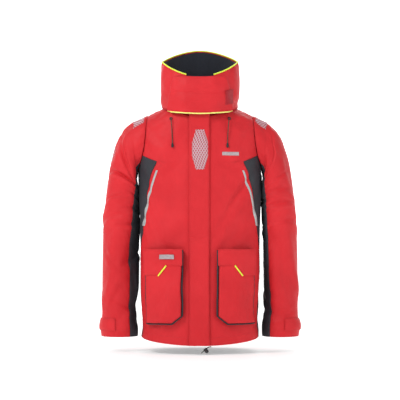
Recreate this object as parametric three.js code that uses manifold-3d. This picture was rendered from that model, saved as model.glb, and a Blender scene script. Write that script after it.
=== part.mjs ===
// Foul weather jacket for sailing, standing in the shape that it has on its wearer.
// Millimetres. +X is the wearer's left, +Y the wearer's back, +Z up.
// The origin is on the shoulder line, at the centre of the neck.
// Cloth pieces are thin sheets on smooth surfaces, with a small gap at each seam.
import * as THREE from "three";
import { mergeVertices } from "three/addons/utils/BufferGeometryUtils.js";
import Module from "manifold-3d";

const wasm = await Module();
wasm.setup();

// ---- driving dimensions ----
const backLength = 800; // neck line to hem at the centre
const sideLength = backLength - 25; // neck line to hem at the sides, where the hem curves up
const chestHalfWidth = 212;
const waistHalfWidth = chestHalfWidth - 7;
const hemHalfWidth = chestHalfWidth - 11;
const hemDepthFront = 140;
const hemDepthBack = 140;
const neckHalfWidth = 104;
const neckDepthFront = 111;
const neckDepthBack = 72;
const shoulderHalfWidth = 176; // to the armhole seam
const shoulderDrop = 25;
const armpitDrop = 235;
const sleeveEnd = 778; // neck line to cuff edge
const sleeveOuterX = chestHalfWidth + 128;
const sleeveInnerX = chestHalfWidth + 5;
const cuffHalfDepth = 58;
const armholeHalfDepth = 82;
const hoodHalfWidth = 132;
const hoodDepthFront = 130;
const hoodDepthBack = 100;
const hoodBackHeight = 200;
const hoodSideHeight = 165;
const hoodFrontHeight = 120;
const collarHeight = 50;

const cloth = 2.5; // shell fabric with its seam allowance
const liningCloth = 1.2;
const trim = 1.2; // labels, reflectors and piping
const seam = 0.6; // half the gap between two sewn panels
const layerGap = 0.5; // gap between a layer and the one it lies on
const liningSlack = 3; // how far a lining hangs off the cloth that it lines

const zipGap = 14; // half the distance between the front panels' edges
const zipTop = -46;
const zipBottom = -backLength + 12;
const tapeWidth = 21;
const tapeThickness = 0.8;
const coilWidth = 4.2;
const coilThickness = 2.5;
const coilGap = 0.8; // half the gap between the coils below the slider
const sliderLength = 18;
const sliderWidth = 14;
const pullLength = 34;
const pullWidth = 8;

const flapFreeX = -36;
const flapSewnX = 30;
const flapTop = -36;
const flapStand = 8; // room for the zip under the storm flap

const pocketInnerX = 58;
const pocketOuterX = waistHalfWidth - 33;
const pocketTop = -backLength + 320;
const pocketBottom = -backLength + 73;
const pocketCorner = 34; // the cut inner bottom corner
const pocketDepth = 22;
const pocketFlapShort = 52; // flap drop on the inner side
const pocketFlapLong = 85;

const cuffTabTop = -sleeveEnd + 64;
const cuffTabBottom = -sleeveEnd + 20;
const forearmLength = 168; // the last ring of the sleeve before the cuff is this far up
const cordDiameter = 3;

const torsoSquareness = 2.8; // exponent of the body's superellipse
const hoodSquareness = 2.4;

// ---- materials ----
function material(color, roughness, metalness = 0) {
  return new THREE.MeshStandardMaterial({ color, roughness, metalness, side: THREE.FrontSide });
}
const shellRed = () => material(0xd8343c, 0.62);
const shellCharcoal = () => material(0x36383f, 0.7);
const liningNavy = () => material(0x26282f, 0.85);
const trimNeon = () => material(0xd6f53c, 0.55);
const reflective = () => material(0xbe9696, 0.35, 0.2);
const zipPlastic = () => material(0x202226, 0.45);
const loopRed = () => material(0xb91c2a, 0.9);
const cordOlive = () => material(0x45463a, 0.75);
const blackPlastic = () => material(0x141416, 0.4);

// ---- surfaces ----
// Each row of a table is one ring: half width, side height, front depth, front height, back depth, back height.
// Rings in between follow a smooth curve through the rows.
function ringAt(rows, v) {
  const last = rows.length - 1;
  const t = Math.min(Math.max(v, 0), last);
  const i = Math.min(Math.floor(t), last - 1);
  const f = t - i;
  const row = (k) => rows[Math.min(Math.max(k, 0), last)];
  return rows[i].map((_, c) => {
    const [a, b, d, e] = [row(i - 1)[c], row(i)[c], row(i + 1)[c], row(i + 2)[c]];
    const inSlope = i === 0 ? d - b : (d - a) / 2;
    const outSlope = i === last - 1 ? d - b : (e - b) / 2;
    const f2 = f * f;
    const f3 = f2 * f;
    const ends = (2 * f3 - 3 * f2 + 1) * b + (3 * f2 - 2 * f3) * d;
    return ends + (f3 - 2 * f2 + f) * inSlope + (f3 - f2) * outSlope;
  });
}

// A point of a ringed surface; phi is 0 at the wearer's left side and -90 degrees at the centre front.
function ringedPoint(rows, squareness, v, phi) {
  const [halfWidth, sideZ, front, frontZ, back, backZ] = ringAt(rows, v);
  const c = Math.cos(phi);
  const s = Math.sin(phi);
  const r = (Math.abs(c) ** squareness + Math.abs(s) ** squareness) ** (-1 / squareness);
  const toFront = s < 0;
  const z = sideZ * c * c + (toFront ? frontZ : backZ) * s * s;
  return new THREE.Vector3(halfWidth * r * c, (toFront ? front : back) * r * s, z);
}

// The same point moved out along the surface's normal.
function raisedPoint(surface, v, phi, raise) {
  const p = surface(v, phi);
  if (raise === 0) return p;
  const step = 1e-3;
  const along = surface(v + step, phi).sub(surface(v - step, phi));
  const across = surface(v, phi + step).sub(surface(v, phi - step));
  const normal = across.cross(along).normalize();
  const outward = new THREE.Vector3(Math.cos(phi), Math.sin(phi), 0);
  if (normal.dot(outward) < 0) normal.negate();
  return p.addScaledVector(normal, raise);
}

const degrees = (a) => (a * Math.PI) / 180;
const mix = (a, b, t) => a + (b - a) * t;

// The closure line at the centre front is straight, so that the zip can slide.
const closureSlope = (hemDepthFront - neckDepthFront) / (backLength + zipTop);
const closureDepth = (z) => neckDepthFront + closureSlope * (zipTop - z);

const neckSideHeight = 12;
const torsoRows = [
  [neckHalfWidth, neckSideHeight, closureDepth(-34), -34, neckDepthBack, 6],
  [mix(neckHalfWidth, shoulderHalfWidth, 0.5), -6, closureDepth(-52), -52, neckDepthBack + 24, -6],
  [shoulderHalfWidth, -shoulderDrop, closureDepth(-82), -82, neckDepthBack + 42, -26],
  [chestHalfWidth - 12, -64, closureDepth(-122), -122, hemDepthBack - 16, -74],
  [chestHalfWidth, -150, closureDepth(-190), -190, hemDepthBack - 7, -160],
  [chestHalfWidth, -armpitDrop, closureDepth(-250), -250, hemDepthBack - 2, -242],
  [waistHalfWidth, mix(-armpitDrop, -sideLength, 0.34), closureDepth(-430), -430, hemDepthBack, -426],
  [mix(waistHalfWidth, hemHalfWidth, 0.5), mix(-armpitDrop, -sideLength, 0.67), closureDepth(-612), -612,
    hemDepthBack, -610],
  [hemHalfWidth, -sideLength, closureDepth(-backLength), -backLength, hemDepthBack, -backLength],
];
const torso = (v, phi) => ringedPoint(torsoRows, torsoSquareness, v, phi);
const torsoRaised = (v, phi, raise) => raisedPoint(torso, v, phi, raise);

const hoodFoot = 3; // the hood's lower edge stands this far above the shoulders
const shoulderSlope = 0.5;
const hoodSideFoot = neckSideHeight + hoodFoot - shoulderSlope * (hoodHalfWidth - 2 - neckHalfWidth);
const hoodRows = [
  [hoodHalfWidth - 2, hoodSideFoot, hoodDepthFront - 2, -20, hoodDepthBack - 8, 8],
  [hoodHalfWidth + 2, hoodSideHeight * 0.34, hoodDepthFront + 2, hoodFrontHeight * 0.25, hoodDepthBack,
    hoodBackHeight * 0.34],
  [hoodHalfWidth + 1, hoodSideHeight * 0.68, hoodDepthFront, hoodFrontHeight * 0.63, hoodDepthBack + 4,
    hoodBackHeight * 0.68],
  [hoodHalfWidth - 4, hoodSideHeight, hoodDepthFront - 8, hoodFrontHeight, hoodDepthBack, hoodBackHeight],
];
const hoodSurface = (v, phi) => ringedPoint(hoodRows, hoodSquareness, v, phi);
const hoodRaised = (v, phi, raise) => raisedPoint(hoodSurface, v, phi, raise);

const collarRows = [
  [neckHalfWidth - 3, 17, neckDepthFront - 8, -26, neckDepthBack - 2, 12],
  [neckHalfWidth - 5, 17 + collarHeight / 2, neckDepthFront - 12, -26 + collarHeight * 0.7, neckDepthBack - 5,
    12 + collarHeight / 2],
  [neckHalfWidth - 8, 17 + collarHeight, neckDepthFront - 17, -26 + collarHeight * 1.4, neckDepthBack - 8,
    12 + collarHeight],
];
const collarSurface = (v, phi) => ringedPoint(collarRows, torsoSquareness, v, phi);

// ---- closed sheets ----
// A closed body between two grids of points. A wrapped grid joins its last column to its first.
function slab(outer, inner, wrapped = false) {
  const rows = outer.length;
  const columns = outer[0].length;
  const points = [...outer.flat(), ...inner.flat()];
  const out = (i, j) => i * columns + (j % columns);
  const inn = (i, j) => rows * columns + out(i, j);
  const faces = [];
  const quad = (a, b, c, d) => faces.push(a, b, c, a, c, d);
  const spans = wrapped ? columns : columns - 1;
  for (let i = 0; i < rows - 1; i++)
    for (let j = 0; j < spans; j++) {
      quad(out(i, j), out(i, j + 1), out(i + 1, j + 1), out(i + 1, j));
      quad(inn(i, j), inn(i + 1, j), inn(i + 1, j + 1), inn(i, j + 1));
    }
  for (let j = 0; j < spans; j++) {
    quad(out(0, j + 1), out(0, j), inn(0, j), inn(0, j + 1));
    quad(out(rows - 1, j), out(rows - 1, j + 1), inn(rows - 1, j + 1), inn(rows - 1, j));
  }
  if (!wrapped)
    for (let i = 0; i < rows - 1; i++) {
      quad(out(i, 0), out(i + 1, 0), inn(i + 1, 0), inn(i, 0));
      quad(out(i + 1, columns - 1), out(i, columns - 1), inn(i, columns - 1), inn(i + 1, columns - 1));
    }
  const geometry = new THREE.BufferGeometry().setFromPoints(points);
  geometry.setIndex(faces);
  return facingOut(geometry);
}

function signedVolume(geometry) {
  const at = geometry.getAttribute("position");
  const index = geometry.index.array;
  const [a, b, c] = [new THREE.Vector3(), new THREE.Vector3(), new THREE.Vector3()];
  let volume = 0;
  for (let i = 0; i < index.length; i += 3) {
    a.fromBufferAttribute(at, index[i]);
    b.fromBufferAttribute(at, index[i + 1]);
    c.fromBufferAttribute(at, index[i + 2]);
    volume += a.dot(b.cross(c)) / 6;
  }
  return volume;
}

function facingOut(geometry) {
  if (signedVolume(geometry) < 0) {
    const index = geometry.index.array;
    for (let i = 0; i < index.length; i += 3) [index[i + 1], index[i + 2]] = [index[i + 2], index[i + 1]];
  }
  geometry.computeVertexNormals();
  return geometry;
}

// A sheet on a surface. place(a, b) gives [v, phi] for a and b from 0 to 1.
function sheetOn(raised, place, columns, rows, outerRaise, thickness, wrapped = false) {
  const grid = (raise) =>
    rows.map((b) => columns.map((a) => raised(...place(a, b), raise)));
  return slab(grid(outerRaise), grid(outerRaise - thickness), wrapped);
}

const steps = (n) => Array.from({ length: n + 1 }, (_, i) => i / n);

function mirrored(geometry) {
  const copy = geometry.clone();
  copy.scale(-1, 1, 1);
  return facingOut(copy.index ? copy : mergeVertices(copy));
}

// ---- joining and cutting ----
function solid(geometry) {
  const bare = geometry.clone();
  bare.deleteAttribute("normal");
  bare.deleteAttribute("uv");
  const merged = mergeVertices(bare, 1e-4);
  return new wasm.Manifold(
    new wasm.Mesh({
      numProp: 3,
      vertProperties: new Float32Array(merged.getAttribute("position").array),
      triVerts: new Uint32Array(merged.index.array),
    }),
  );
}

function geometryOf(manifold) {
  const mesh = manifold.getMesh();
  const geometry = new THREE.BufferGeometry();
  geometry.setAttribute("position", new THREE.BufferAttribute(mesh.vertProperties, 3));
  geometry.setIndex(new THREE.BufferAttribute(mesh.triVerts, 1));
  geometry.computeVertexNormals();
  return geometry;
}

function joined(...geometries) {
  return geometryOf(geometries.map(solid).reduce((a, b) => a.add(b)));
}

function box(width, depth, height, x, y, z) {
  return new THREE.BoxGeometry(width, depth, height).translate(x, y, z);
}

// ---- places on the body's front ----
// The angle of the ring's point at distance x from the centre front.
function phiAtX(v, x) {
  const q = Math.min(Math.abs(x) / ringAt(torsoRows, v)[0], 0.9999);
  const depth = (1 - q ** torsoSquareness) ** (1 / torsoSquareness);
  return Math.atan2(-depth, Math.sign(x) * q);
}

// The ring and angle of the front's point at x and z.
function onFront(x, z) {
  let low = 0;
  let high = torsoRows.length - 1;
  for (let i = 0; i < 30; i++) {
    const middle = (low + high) / 2;
    if (torso(middle, phiAtX(middle, x)).z > z) low = middle;
    else high = middle;
  }
  const v = (low + high) / 2;
  return [v, phiAtX(v, x)];
}

// A patch on the front; corner(a, b) gives its [x, z].
function frontPatch(corner, columns, rows, outerRaise, thickness) {
  return sheetOn(torsoRaised, (a, b) => onFront(...corner(a, b)), columns, rows, outerRaise, thickness);
}

// ---- shell ----
const armholeTop = 2;
const armholeBottom = 5;
const armholeAngle = degrees(34);
const sidePanelTop = 4;
const sidePanelCorner = sidePanelTop + 0.1; // where the side panel reaches its full width
const hemRow = torsoRows.length - 1;
const liningSet = cloth + 7; // how far the lining hangs inside the shell's face
const liningFrontX = 40;

// Half the armhole's opening angle at ring v.
function armholeSpread(v) {
  const cosine = 1 - (2 * (v - armholeTop)) / (armholeBottom - armholeTop);
  return armholeAngle * Math.sqrt(Math.max(0, 1 - cosine * cosine));
}

// Where the front and the back panel end: shoulder seam, armhole, then the side panel's seam.
function panelEdge(v, widest) {
  if (v <= armholeTop) return 0;
  if (v <= sidePanelTop) return armholeSpread(v);
  const narrow = degrees(15);
  if (v < sidePanelCorner)
    return mix(armholeSpread(sidePanelTop), widest, (v - sidePanelTop) / (sidePanelCorner - sidePanelTop));
  return mix(widest, narrow, Math.min(1, (v - sidePanelCorner) / 2.6) ** 1.5);
}
const frontEdge = (v) => -panelEdge(v, degrees(51));
const backEdge = (v) => panelEdge(v, degrees(42));

const shellRows = [0, 0.5, 1, 1.5, 2, 2.1, 2.3, 2.6, 3, 3.5, 4, sidePanelCorner, 4.5, 5, 5.7, 6.4, 7.2, 8];
const seamAngle = (v) => seam / ringAt(torsoRows, v)[0];

function frontPanel(outerRaise, thickness, centreX, inset) {
  const place = (a, v) => {
    const near = phiAtX(v, centreX);
    const far = frontEdge(v) - seamAngle(v) - inset / ringAt(torsoRows, v)[0];
    return [v, mix(near, far, a)];
  };
  return sheetOn(torsoRaised, place, steps(6), shellRows, outerRaise, thickness);
}

function backPanel(outerRaise, thickness, inset) {
  const place = (a, v) => {
    const edge = backEdge(v) + seamAngle(v) + inset / ringAt(torsoRows, v)[0];
    return [v, mix(edge, Math.PI - edge, a)];
  };
  return sheetOn(torsoRaised, place, steps(12), shellRows, outerRaise, thickness);
}

function sidePanel() {
  const rows = shellRows.filter((v) => v >= sidePanelTop);
  const spread = armholeSpread(sidePanelTop);
  const place = (a, v) => {
    const topAngle = mix(-spread, spread, a);
    const across = Math.sqrt(Math.max(0, 1 - (topAngle / armholeAngle) ** 2));
    const topRow = mix(armholeTop, armholeBottom, (1 + across) / 2);
    const down = (v - sidePanelTop) / (hemRow - sidePanelTop);
    return [mix(topRow, hemRow, down), mix(frontEdge(v) + seamAngle(v), backEdge(v) - seamAngle(v), a)];
  };
  return sheetOn(torsoRaised, place, steps(6), rows, 0, cloth);
}

// ---- sleeves ----
// Rings of a sleeve: outer x, outer z, inner x, inner z, half depth.
const sleeveRows = [
  [chestHalfWidth + 16, -42, sleeveInnerX + 1, -armpitDrop - 4, armholeHalfDepth - 10],
  [chestHalfWidth + 56, -76, sleeveInnerX, -armpitDrop - 32, armholeHalfDepth - 2],
  [chestHalfWidth + 84, -134, sleeveInnerX, -armpitDrop - 62, armholeHalfDepth - 2],
  [chestHalfWidth + 102, -200, sleeveInnerX, -armpitDrop - 100, armholeHalfDepth - 5],
  [sleeveOuterX - 11, -310, sleeveInnerX, -armpitDrop - 170, armholeHalfDepth - 11],
  [sleeveOuterX - 2, -430, sleeveInnerX - 1, -armpitDrop - 245, cuffHalfDepth + 9],
  [sleeveOuterX, -sleeveEnd + forearmLength, sleeveInnerX - 1, -sleeveEnd + forearmLength - 10,
    cuffHalfDepth + 4],
  [sleeveOuterX - 1, -sleeveEnd, sleeveInnerX - 4, -sleeveEnd, cuffHalfDepth],
];
const sleeveSetOff = 4; // the sleeve head starts this far off the body's surface

// The armhole's seam, going round with alpha: 0 at the shoulder, 90 degrees at the back.
function armholePoint(alpha) {
  const v = mix(armholeTop, armholeBottom, (1 - Math.cos(alpha)) / 2);
  return torsoRaised(v, armholeAngle * Math.sin(alpha), sleeveSetOff);
}

function sleeveSurface(v, alpha) {
  const [outerX, outerZ, innerX, innerZ, halfDepth] = ringAt(sleeveRows, v - 1);
  const c = (1 + Math.cos(alpha)) / 2;
  const y = halfDepth * Math.sin(alpha);
  const ring = new THREE.Vector3(mix(innerX, outerX, c), y, mix(innerZ, outerZ, c));
  if (v >= 1) return ring;
  return armholePoint(alpha).lerp(ring, v);
}

function sleeveRaised(v, alpha, raise) {
  const p = sleeveSurface(v, alpha);
  if (raise === 0) return p;
  const [outerX, outerZ, innerX, innerZ] = ringAt(sleeveRows, v - 1);
  const middle = new THREE.Vector3((outerX + innerX) / 2, 0, (outerZ + innerZ) / 2);
  return p.addScaledVector(p.clone().sub(middle).normalize(), raise);
}

const stripFront = degrees(180 + 52);
const stripBack = degrees(180 - 30);
const sleeveSteps = [0, 0.5, 1, 2, 3, 4, 5, 6, 7, 8];

function sleeveStrip(from, to, columns, top, bottom, outerRaise, thickness) {
  const place = (a, b) => [mix(top, bottom, b), mix(from, to, a)];
  const rows = sleeveSteps.map((v) => v / 8);
  return sheetOn(sleeveRaised, place, columns, rows, outerRaise, thickness);
}

function sleeveMain() {
  const gap = seam / cuffHalfDepth;
  return sleeveStrip(stripFront + gap, stripBack + 2 * Math.PI - gap, steps(16), 0, 8, 0, cloth);
}

function sleeveInner() {
  const gap = seam / cuffHalfDepth;
  return sleeveStrip(stripBack + gap, stripFront - gap, steps(6), 0, 8, 0, cloth);
}

// The ring of the sleeve whose middle lies at height z, below the elbow.
const sleeveRingAtZ = (z) => 7 + (-sleeveEnd + forearmLength - z) / forearmLength;

function innerCuff() {
  const [top, foot] = [-sleeveEnd + 88, -sleeveEnd + 6];
  const place = (a, b) => [mix(sleeveRingAtZ(top), sleeveRingAtZ(foot), b), a * 2 * Math.PI];
  const round = steps(16).slice(0, -1);
  return sheetOn(sleeveRaised, place, round, steps(2), -cloth - 6, cloth, true);
}

function cuffTab() {
  const [front, back] = [degrees(-82), degrees(40)];
  const place = (a, b) => [
    mix(sleeveRingAtZ(cuffTabTop), sleeveRingAtZ(cuffTabBottom), b),
    mix(front, back, a),
  ];
  return sheetOn(sleeveRaised, place, steps(8), steps(2), cloth + 2 * layerGap, cloth);
}

function shoulderReflector() {
  const place = (a, b) => [mix(0.25, 0.95, a), mix(degrees(-38), degrees(-8), b)];
  return sheetOn(sleeveRaised, place, steps(3), steps(3), trim + layerGap, trim);
}

function sleeveReflector() {
  const place = (a, b) => [mix(2.9, 3.6, b), mix(degrees(-30), degrees(-22), a)];
  return sheetOn(sleeveRaised, place, steps(1), steps(3), trim + layerGap, trim);
}

// ---- hood, collar and face guard ----
const hoodOpening = degrees(20); // half the angle of the hood's front gap
const rimRow = hoodRows.length - 1;

function hoodSheet(outerRaise, thickness, bottom, top, inset) {
  const from = -Math.PI / 2 + hoodOpening + inset;
  const to = (3 * Math.PI) / 2 - hoodOpening - inset;
  const place = (a, b) => [mix(bottom, top, b), mix(from, to, a)];
  return sheetOn(hoodRaised, place, steps(20), steps(5), outerRaise, thickness);
}

class PathCurve extends THREE.Curve {
  constructor(at) {
    super();
    this.at = at;
  }
  getPoint(t) {
    return this.at(t);
  }
}

function tube(at, radius, segments, sides = 8) {
  const section = new THREE.Shape().absarc(0, 0, radius, 0, 2 * Math.PI);
  return new THREE.ExtrudeGeometry(section, {
    steps: segments,
    curveSegments: sides,
    extrudePath: new PathCurve(at),
    bevelEnabled: false,
  });
}

const bindingRadius = 3;

function hoodBinding() {
  const from = -Math.PI / 2 + hoodOpening;
  const to = (3 * Math.PI) / 2 - hoodOpening;
  const up = new THREE.Vector3(0, 0, bindingRadius + 3 * layerGap);
  const at = (t) => hoodRaised(rimRow, mix(from, to, t), -cloth / 2).add(up);
  return tube(at, bindingRadius, 28, 6);
}

const guardSpread = degrees(52); // half the guard's angle at its bottom edge
const guardTopSpread = degrees(37);
const guardRaise = cloth + 3;

// The guard's top edge is an arc, highest at the centre.
function guardPlace(a, b) {
  const side = 2 * a - 1;
  const phi = -Math.PI / 2 + side * mix(guardSpread, guardTopSpread, b);
  const top = rimRow - 0.42 * side * side;
  return [mix(0.02, top, b), phi];
}

function faceGuard() {
  return sheetOn(hoodRaised, guardPlace, steps(12), steps(5), guardRaise, cloth);
}

const pipingRadius = 2;

function guardPiping() {
  const down = new THREE.Vector3(0, 0, -pipingRadius - layerGap);
  const at = (t) => hoodRaised(...guardPlace(t, 0), guardRaise - cloth / 2).add(down);
  return tube(at, pipingRadius, 14, 6);
}

function loopPatch() {
  const place = (a, b) => [mix(0.72, 1.8, b), mix(degrees(-55), degrees(-40), a)];
  return sheetOn(hoodRaised, place, steps(3), steps(4), guardRaise + layerGap + trim, trim);
}

function collarPiece(outerRaise, thickness, inset) {
  const open = Math.asin((zipGap + inset) / neckHalfWidth);
  const place = (a, b) => [2 * b, mix(-Math.PI / 2 + open, (3 * Math.PI) / 2 - open, a)];
  const raised = (v, phi, raise) => raisedPoint(collarSurface, v, phi, raise);
  return sheetOn(raised, place, steps(18), steps(2), outerRaise, thickness);
}

function hangerLoop() {
  const half = 32;
  const drop = 16;
  const y = neckDepthBack - 22;
  const at = (t) => {
    const sag = Math.sin(Math.PI * t);
    return new THREE.Vector3(mix(-half, half, t), y - 4 * sag, 44 - drop * sag);
  };
  return tube(at, 2, 12, 6);
}

// ---- front closure, in a frame whose z runs up the closure line and whose -y faces out ----
const closure = new THREE.Group();
closure.position.set(0, -closureDepth(zipBottom), zipBottom);
closure.rotation.x = -Math.atan(closureSlope);
const closureLength = (zipTop - zipBottom) / Math.cos(Math.atan(closureSlope));
const alongClosure = (z) => (z - zipBottom) / Math.cos(Math.atan(closureSlope));

const tapeFront = cloth + layerGap + 0.4;
const coilFace = tapeFront - 0.3 - coilThickness;

function zipTape() {
  return box(tapeWidth, tapeThickness, closureLength, coilGap + tapeWidth / 2 + 1.4, tapeFront + tapeThickness / 2,
    closureLength / 2);
}

function zipCoil() {
  const depth = tapeFront - 0.3 - coilThickness / 2;
  return box(coilWidth, coilThickness, closureLength - 4, coilGap + coilWidth / 2, depth, closureLength / 2);
}

const sliderTop = closureLength - 6;

function zipSlider() {
  const plate = 2;
  const middle = sliderTop - sliderLength / 2;
  const frontPlate = box(sliderWidth, plate, sliderLength, 0, coilFace - 0.3 - plate / 2, middle);
  const backFace = tapeFront + tapeThickness + 0.4;
  const backPlate = box(sliderWidth, plate, sliderLength, 0, backFace + plate / 2, middle);
  const postDepth = backFace + plate - (coilFace - 0.3 - plate);
  const post = box(2 * coilGap - 0.6, postDepth, 6, 0, coilFace - 0.3 - plate + postDepth / 2, sliderTop - 3);
  const crown = box(3, 2.4, 8, 0, coilFace - 0.3 - plate - 1, middle + 2);
  return joined(frontPlate, backPlate, post, crown);
}

function zipPull() {
  const y = coilFace - 0.3 - 2 - 2.2 - 0.4 - 0.6;
  const outline = new THREE.Shape();
  const half = pullWidth / 2;
  outline.moveTo(-half + 2, 0);
  outline.lineTo(half - 2, 0);
  outline.lineTo(half, -8);
  outline.lineTo(half, -pullLength + 3);
  outline.absarc(half - 3, -pullLength + 3, 3, 0, -Math.PI / 2, true);
  outline.absarc(-half + 3, -pullLength + 3, 3, -Math.PI / 2, -Math.PI, true);
  outline.lineTo(-half, -8);
  const plate = new THREE.ExtrudeGeometry(outline, { depth: 1.2, bevelEnabled: false, curveSegments: 4 });
  return plate.rotateX(Math.PI / 2).translate(0, y + 0.6, sliderTop - 2);
}

function innerStormFlap() {
  return box(54, 2, closureLength, 7, tapeFront + 6.5, closureLength / 2);
}

// The storm flap's section: a flat band that turns in at its free edge and at its sewn edge.
function stormFlap() {
  const outerFace = -(flapStand + cloth);
  const section = new THREE.Shape();
  section.moveTo(flapSewnX + cloth, -0.6);
  section.lineTo(flapSewnX, -0.6);
  section.lineTo(flapSewnX - 2, -flapStand);
  section.lineTo(flapFreeX + 5, -flapStand);
  section.lineTo(flapFreeX + cloth, -flapStand + 4);
  section.lineTo(flapFreeX, -flapStand + 3);
  section.lineTo(flapFreeX + 3, outerFace);
  section.lineTo(flapSewnX, outerFace);
  const length = alongClosure(flapTop) - 2;
  const geometry = new THREE.ExtrudeGeometry(section, { depth: length, bevelEnabled: false });
  return geometry.translate(0, 0, 2);
}

function chestReflector() {
  const top = alongClosure(-76);
  const bottom = alongClosure(-210);
  const middle = (top + bottom) / 2;
  const outline = new THREE.Shape();
  const [endHalf, midHalf, straight] = [14, 27, 22];
  outline.moveTo(-endHalf, bottom);
  outline.lineTo(endHalf, bottom);
  outline.lineTo(midHalf, middle - straight);
  outline.lineTo(midHalf, middle + straight);
  outline.lineTo(endHalf, top);
  outline.lineTo(-endHalf, top);
  outline.lineTo(-midHalf, middle + straight);
  outline.lineTo(-midHalf, middle - straight);
  const plate = new THREE.ExtrudeGeometry(outline, { depth: trim, bevelEnabled: false });
  return plate.rotateX(Math.PI / 2).translate(0, -(flapStand + cloth + layerGap), 0);
}

// ---- cargo pockets, shown for the wearer's left ----
// The height of an edge that steps down from one side of the pocket to the other along a slant.
function slantedEdge(x, slantFrom, slantTo, highZ, lowZ) {
  const t = Math.min(1, Math.max(0, (x - slantFrom) / (slantTo - slantFrom)));
  return mix(highZ, lowZ, t);
}

const gussetFoot = 2; // the gusset's sewn foot stands this far off the panel's face

function pocketBlock(innerX, outerX, top, lift, outerRaise, thickness) {
  const columns = [0, 0.12, 0.3, 0.5, 0.7, 0.85, 1];
  const corner = (a, b) => {
    const x = mix(innerX, outerX, a);
    const bottom = slantedEdge(x, innerX, innerX + pocketCorner, pocketBottom + lift + pocketCorner * 0.8,
      pocketBottom + lift);
    return [x, mix(top, bottom, b)];
  };
  return frontPatch(corner, columns, steps(4), outerRaise, thickness);
}

function pocketFace() {
  return pocketBlock(pocketInnerX, pocketOuterX, pocketTop, 0, pocketDepth + cloth, cloth);
}

function pocketGusset() {
  const wall = cloth;
  const block = pocketBlock(pocketInnerX, pocketOuterX, pocketTop, 0, pocketDepth - layerGap,
    pocketDepth - layerGap - gussetFoot);
  const hollow = pocketBlock(pocketInnerX + wall, pocketOuterX - wall, pocketTop + 20, wall, pocketDepth + 5,
    pocketDepth + 10);
  return geometryOf(solid(block).subtract(solid(hollow)));
}

const flapSlantFrom = 51; // from the pocket's inner side
const flapSlantTo = 74;
const flapRaise = pocketDepth + 2 * cloth + 4 * layerGap;

function flapBottom(x) {
  const [from, to] = [pocketInnerX + flapSlantFrom, pocketInnerX + flapSlantTo];
  return slantedEdge(x, from, to, pocketTop - pocketFlapShort, pocketTop - pocketFlapLong);
}

function pocketFlap() {
  const width = pocketOuterX - pocketInnerX;
  const columns = [0, 0.2, flapSlantFrom / width, flapSlantTo / width, 0.75, 0.87, 1];
  const corner = (a, b) => {
    const x = mix(pocketInnerX, pocketOuterX, a);
    return [x, mix(pocketTop + 3, flapBottom(x), b)];
  };
  return frontPatch(corner, columns, steps(3), flapRaise, cloth);
}

function flapBinding() {
  const [from, to] = [pocketInnerX + flapSlantFrom, pocketInnerX + flapSlantTo];
  const at = (t) => {
    const x = mix(from, to, t);
    return torsoRaised(...onFront(x - 2.4, flapBottom(x) - 2), flapRaise - cloth / 2);
  };
  return tube(at, 1.6, 4, 6);
}

function pocketPiping() {
  const line = (b) => {
    const z = mix(-212, -399, b);
    const [halfWidth] = ringAt(torsoRows, onFront(flapSewnX, z)[0]);
    return [halfWidth * mix(0.68, 0.925, b) + 6 * Math.sin(Math.PI * b), z];
  };
  const corner = (a, b) => {
    const [x, z] = line(b);
    return [x + mix(-3.5, 3.5, a), z];
  };
  return frontPatch(corner, steps(1), steps(8), trim + layerGap, trim);
}

function frontLabel(x, z, width, height, raise) {
  const corner = (a, b) => [x + width * (a - 0.5), z + height * (0.5 - b)];
  return frontPatch(corner, steps(3), steps(1), raise + trim + layerGap, trim);
}

// ---- cords ----
// The hood cord's route: distance in from the hood's side, height, and how far it stands off the chest.
const hoodCordRoute = [
  [34, -38, 10.5],
  [35, -46, 10.75],
  [36.5, -60, 8.02],
  [37.5, -76, 6.58],
  [38.5, -92, 5.87],
  [39, -106, 5.83],
  [39.5, -120, 5.47],
].map(([inset, z, stand]) => {
  const x = hoodHalfWidth - inset;
  return [x, torso(...onFront(x, z)).y - stand, z];
});
// The hem cord's route: distance from the centre and drop below the hem.
const hemCordRoute = [
  [38, 2],
  [32.5, 2.8],
  [27, 4.6],
  [22.6, 8.2],
  [18, 12],
  [13.4, 15.8],
  [8.8, 19.6],
  [4, 24],
].map(([x, drop]) => [x, -hemDepthFront + 3, -backLength - drop]);

function cord(route, segments) {
  const curve = new THREE.CatmullRomCurve3(route.map((p) => new THREE.Vector3(...p)));
  return tube((t) => curve.getPoint(t), cordDiameter / 2, segments, 8);
}

function cordEnd() {
  const profile = [
    [0, 0.5],
    [2.6, 0.5],
    [3.6, 3],
    [4, 12],
    [3, 16],
    [0, 16],
  ].map(([r, z]) => new THREE.Vector2(r, -z));
  const [x, y, z] = hoodCordRoute[hoodCordRoute.length - 1];
  return withoutSpares(new THREE.LatheGeometry(profile, 10)).rotateX(Math.PI / 2).translate(x, y, z);
}

// Lathe and torus geometries repeat their seam's points: this joins them again.
function withoutSpares(geometry) {
  const bare = geometry.clone();
  bare.deleteAttribute("normal");
  bare.deleteAttribute("uv");
  return geometryOf(solid(facingOut(mergeVertices(bare, 1e-4))));
}

function cordEyelet() {
  const ring = withoutSpares(new THREE.TorusGeometry(4.2, 1.2, 6, 14));
  const [x, , z] = hoodCordRoute[0];
  const [v, phi] = onFront(x, z);
  const seat = torsoRaised(v, phi, 2.2);
  ring.applyQuaternion(
    new THREE.Quaternion().setFromUnitVectors(
      new THREE.Vector3(0, 0, 1),
      torsoRaised(v, phi, 3).sub(torsoRaised(v, phi, 0)).normalize(),
    ),
  );
  return ring.translate(seat.x, seat.y, seat.z);
}

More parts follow.
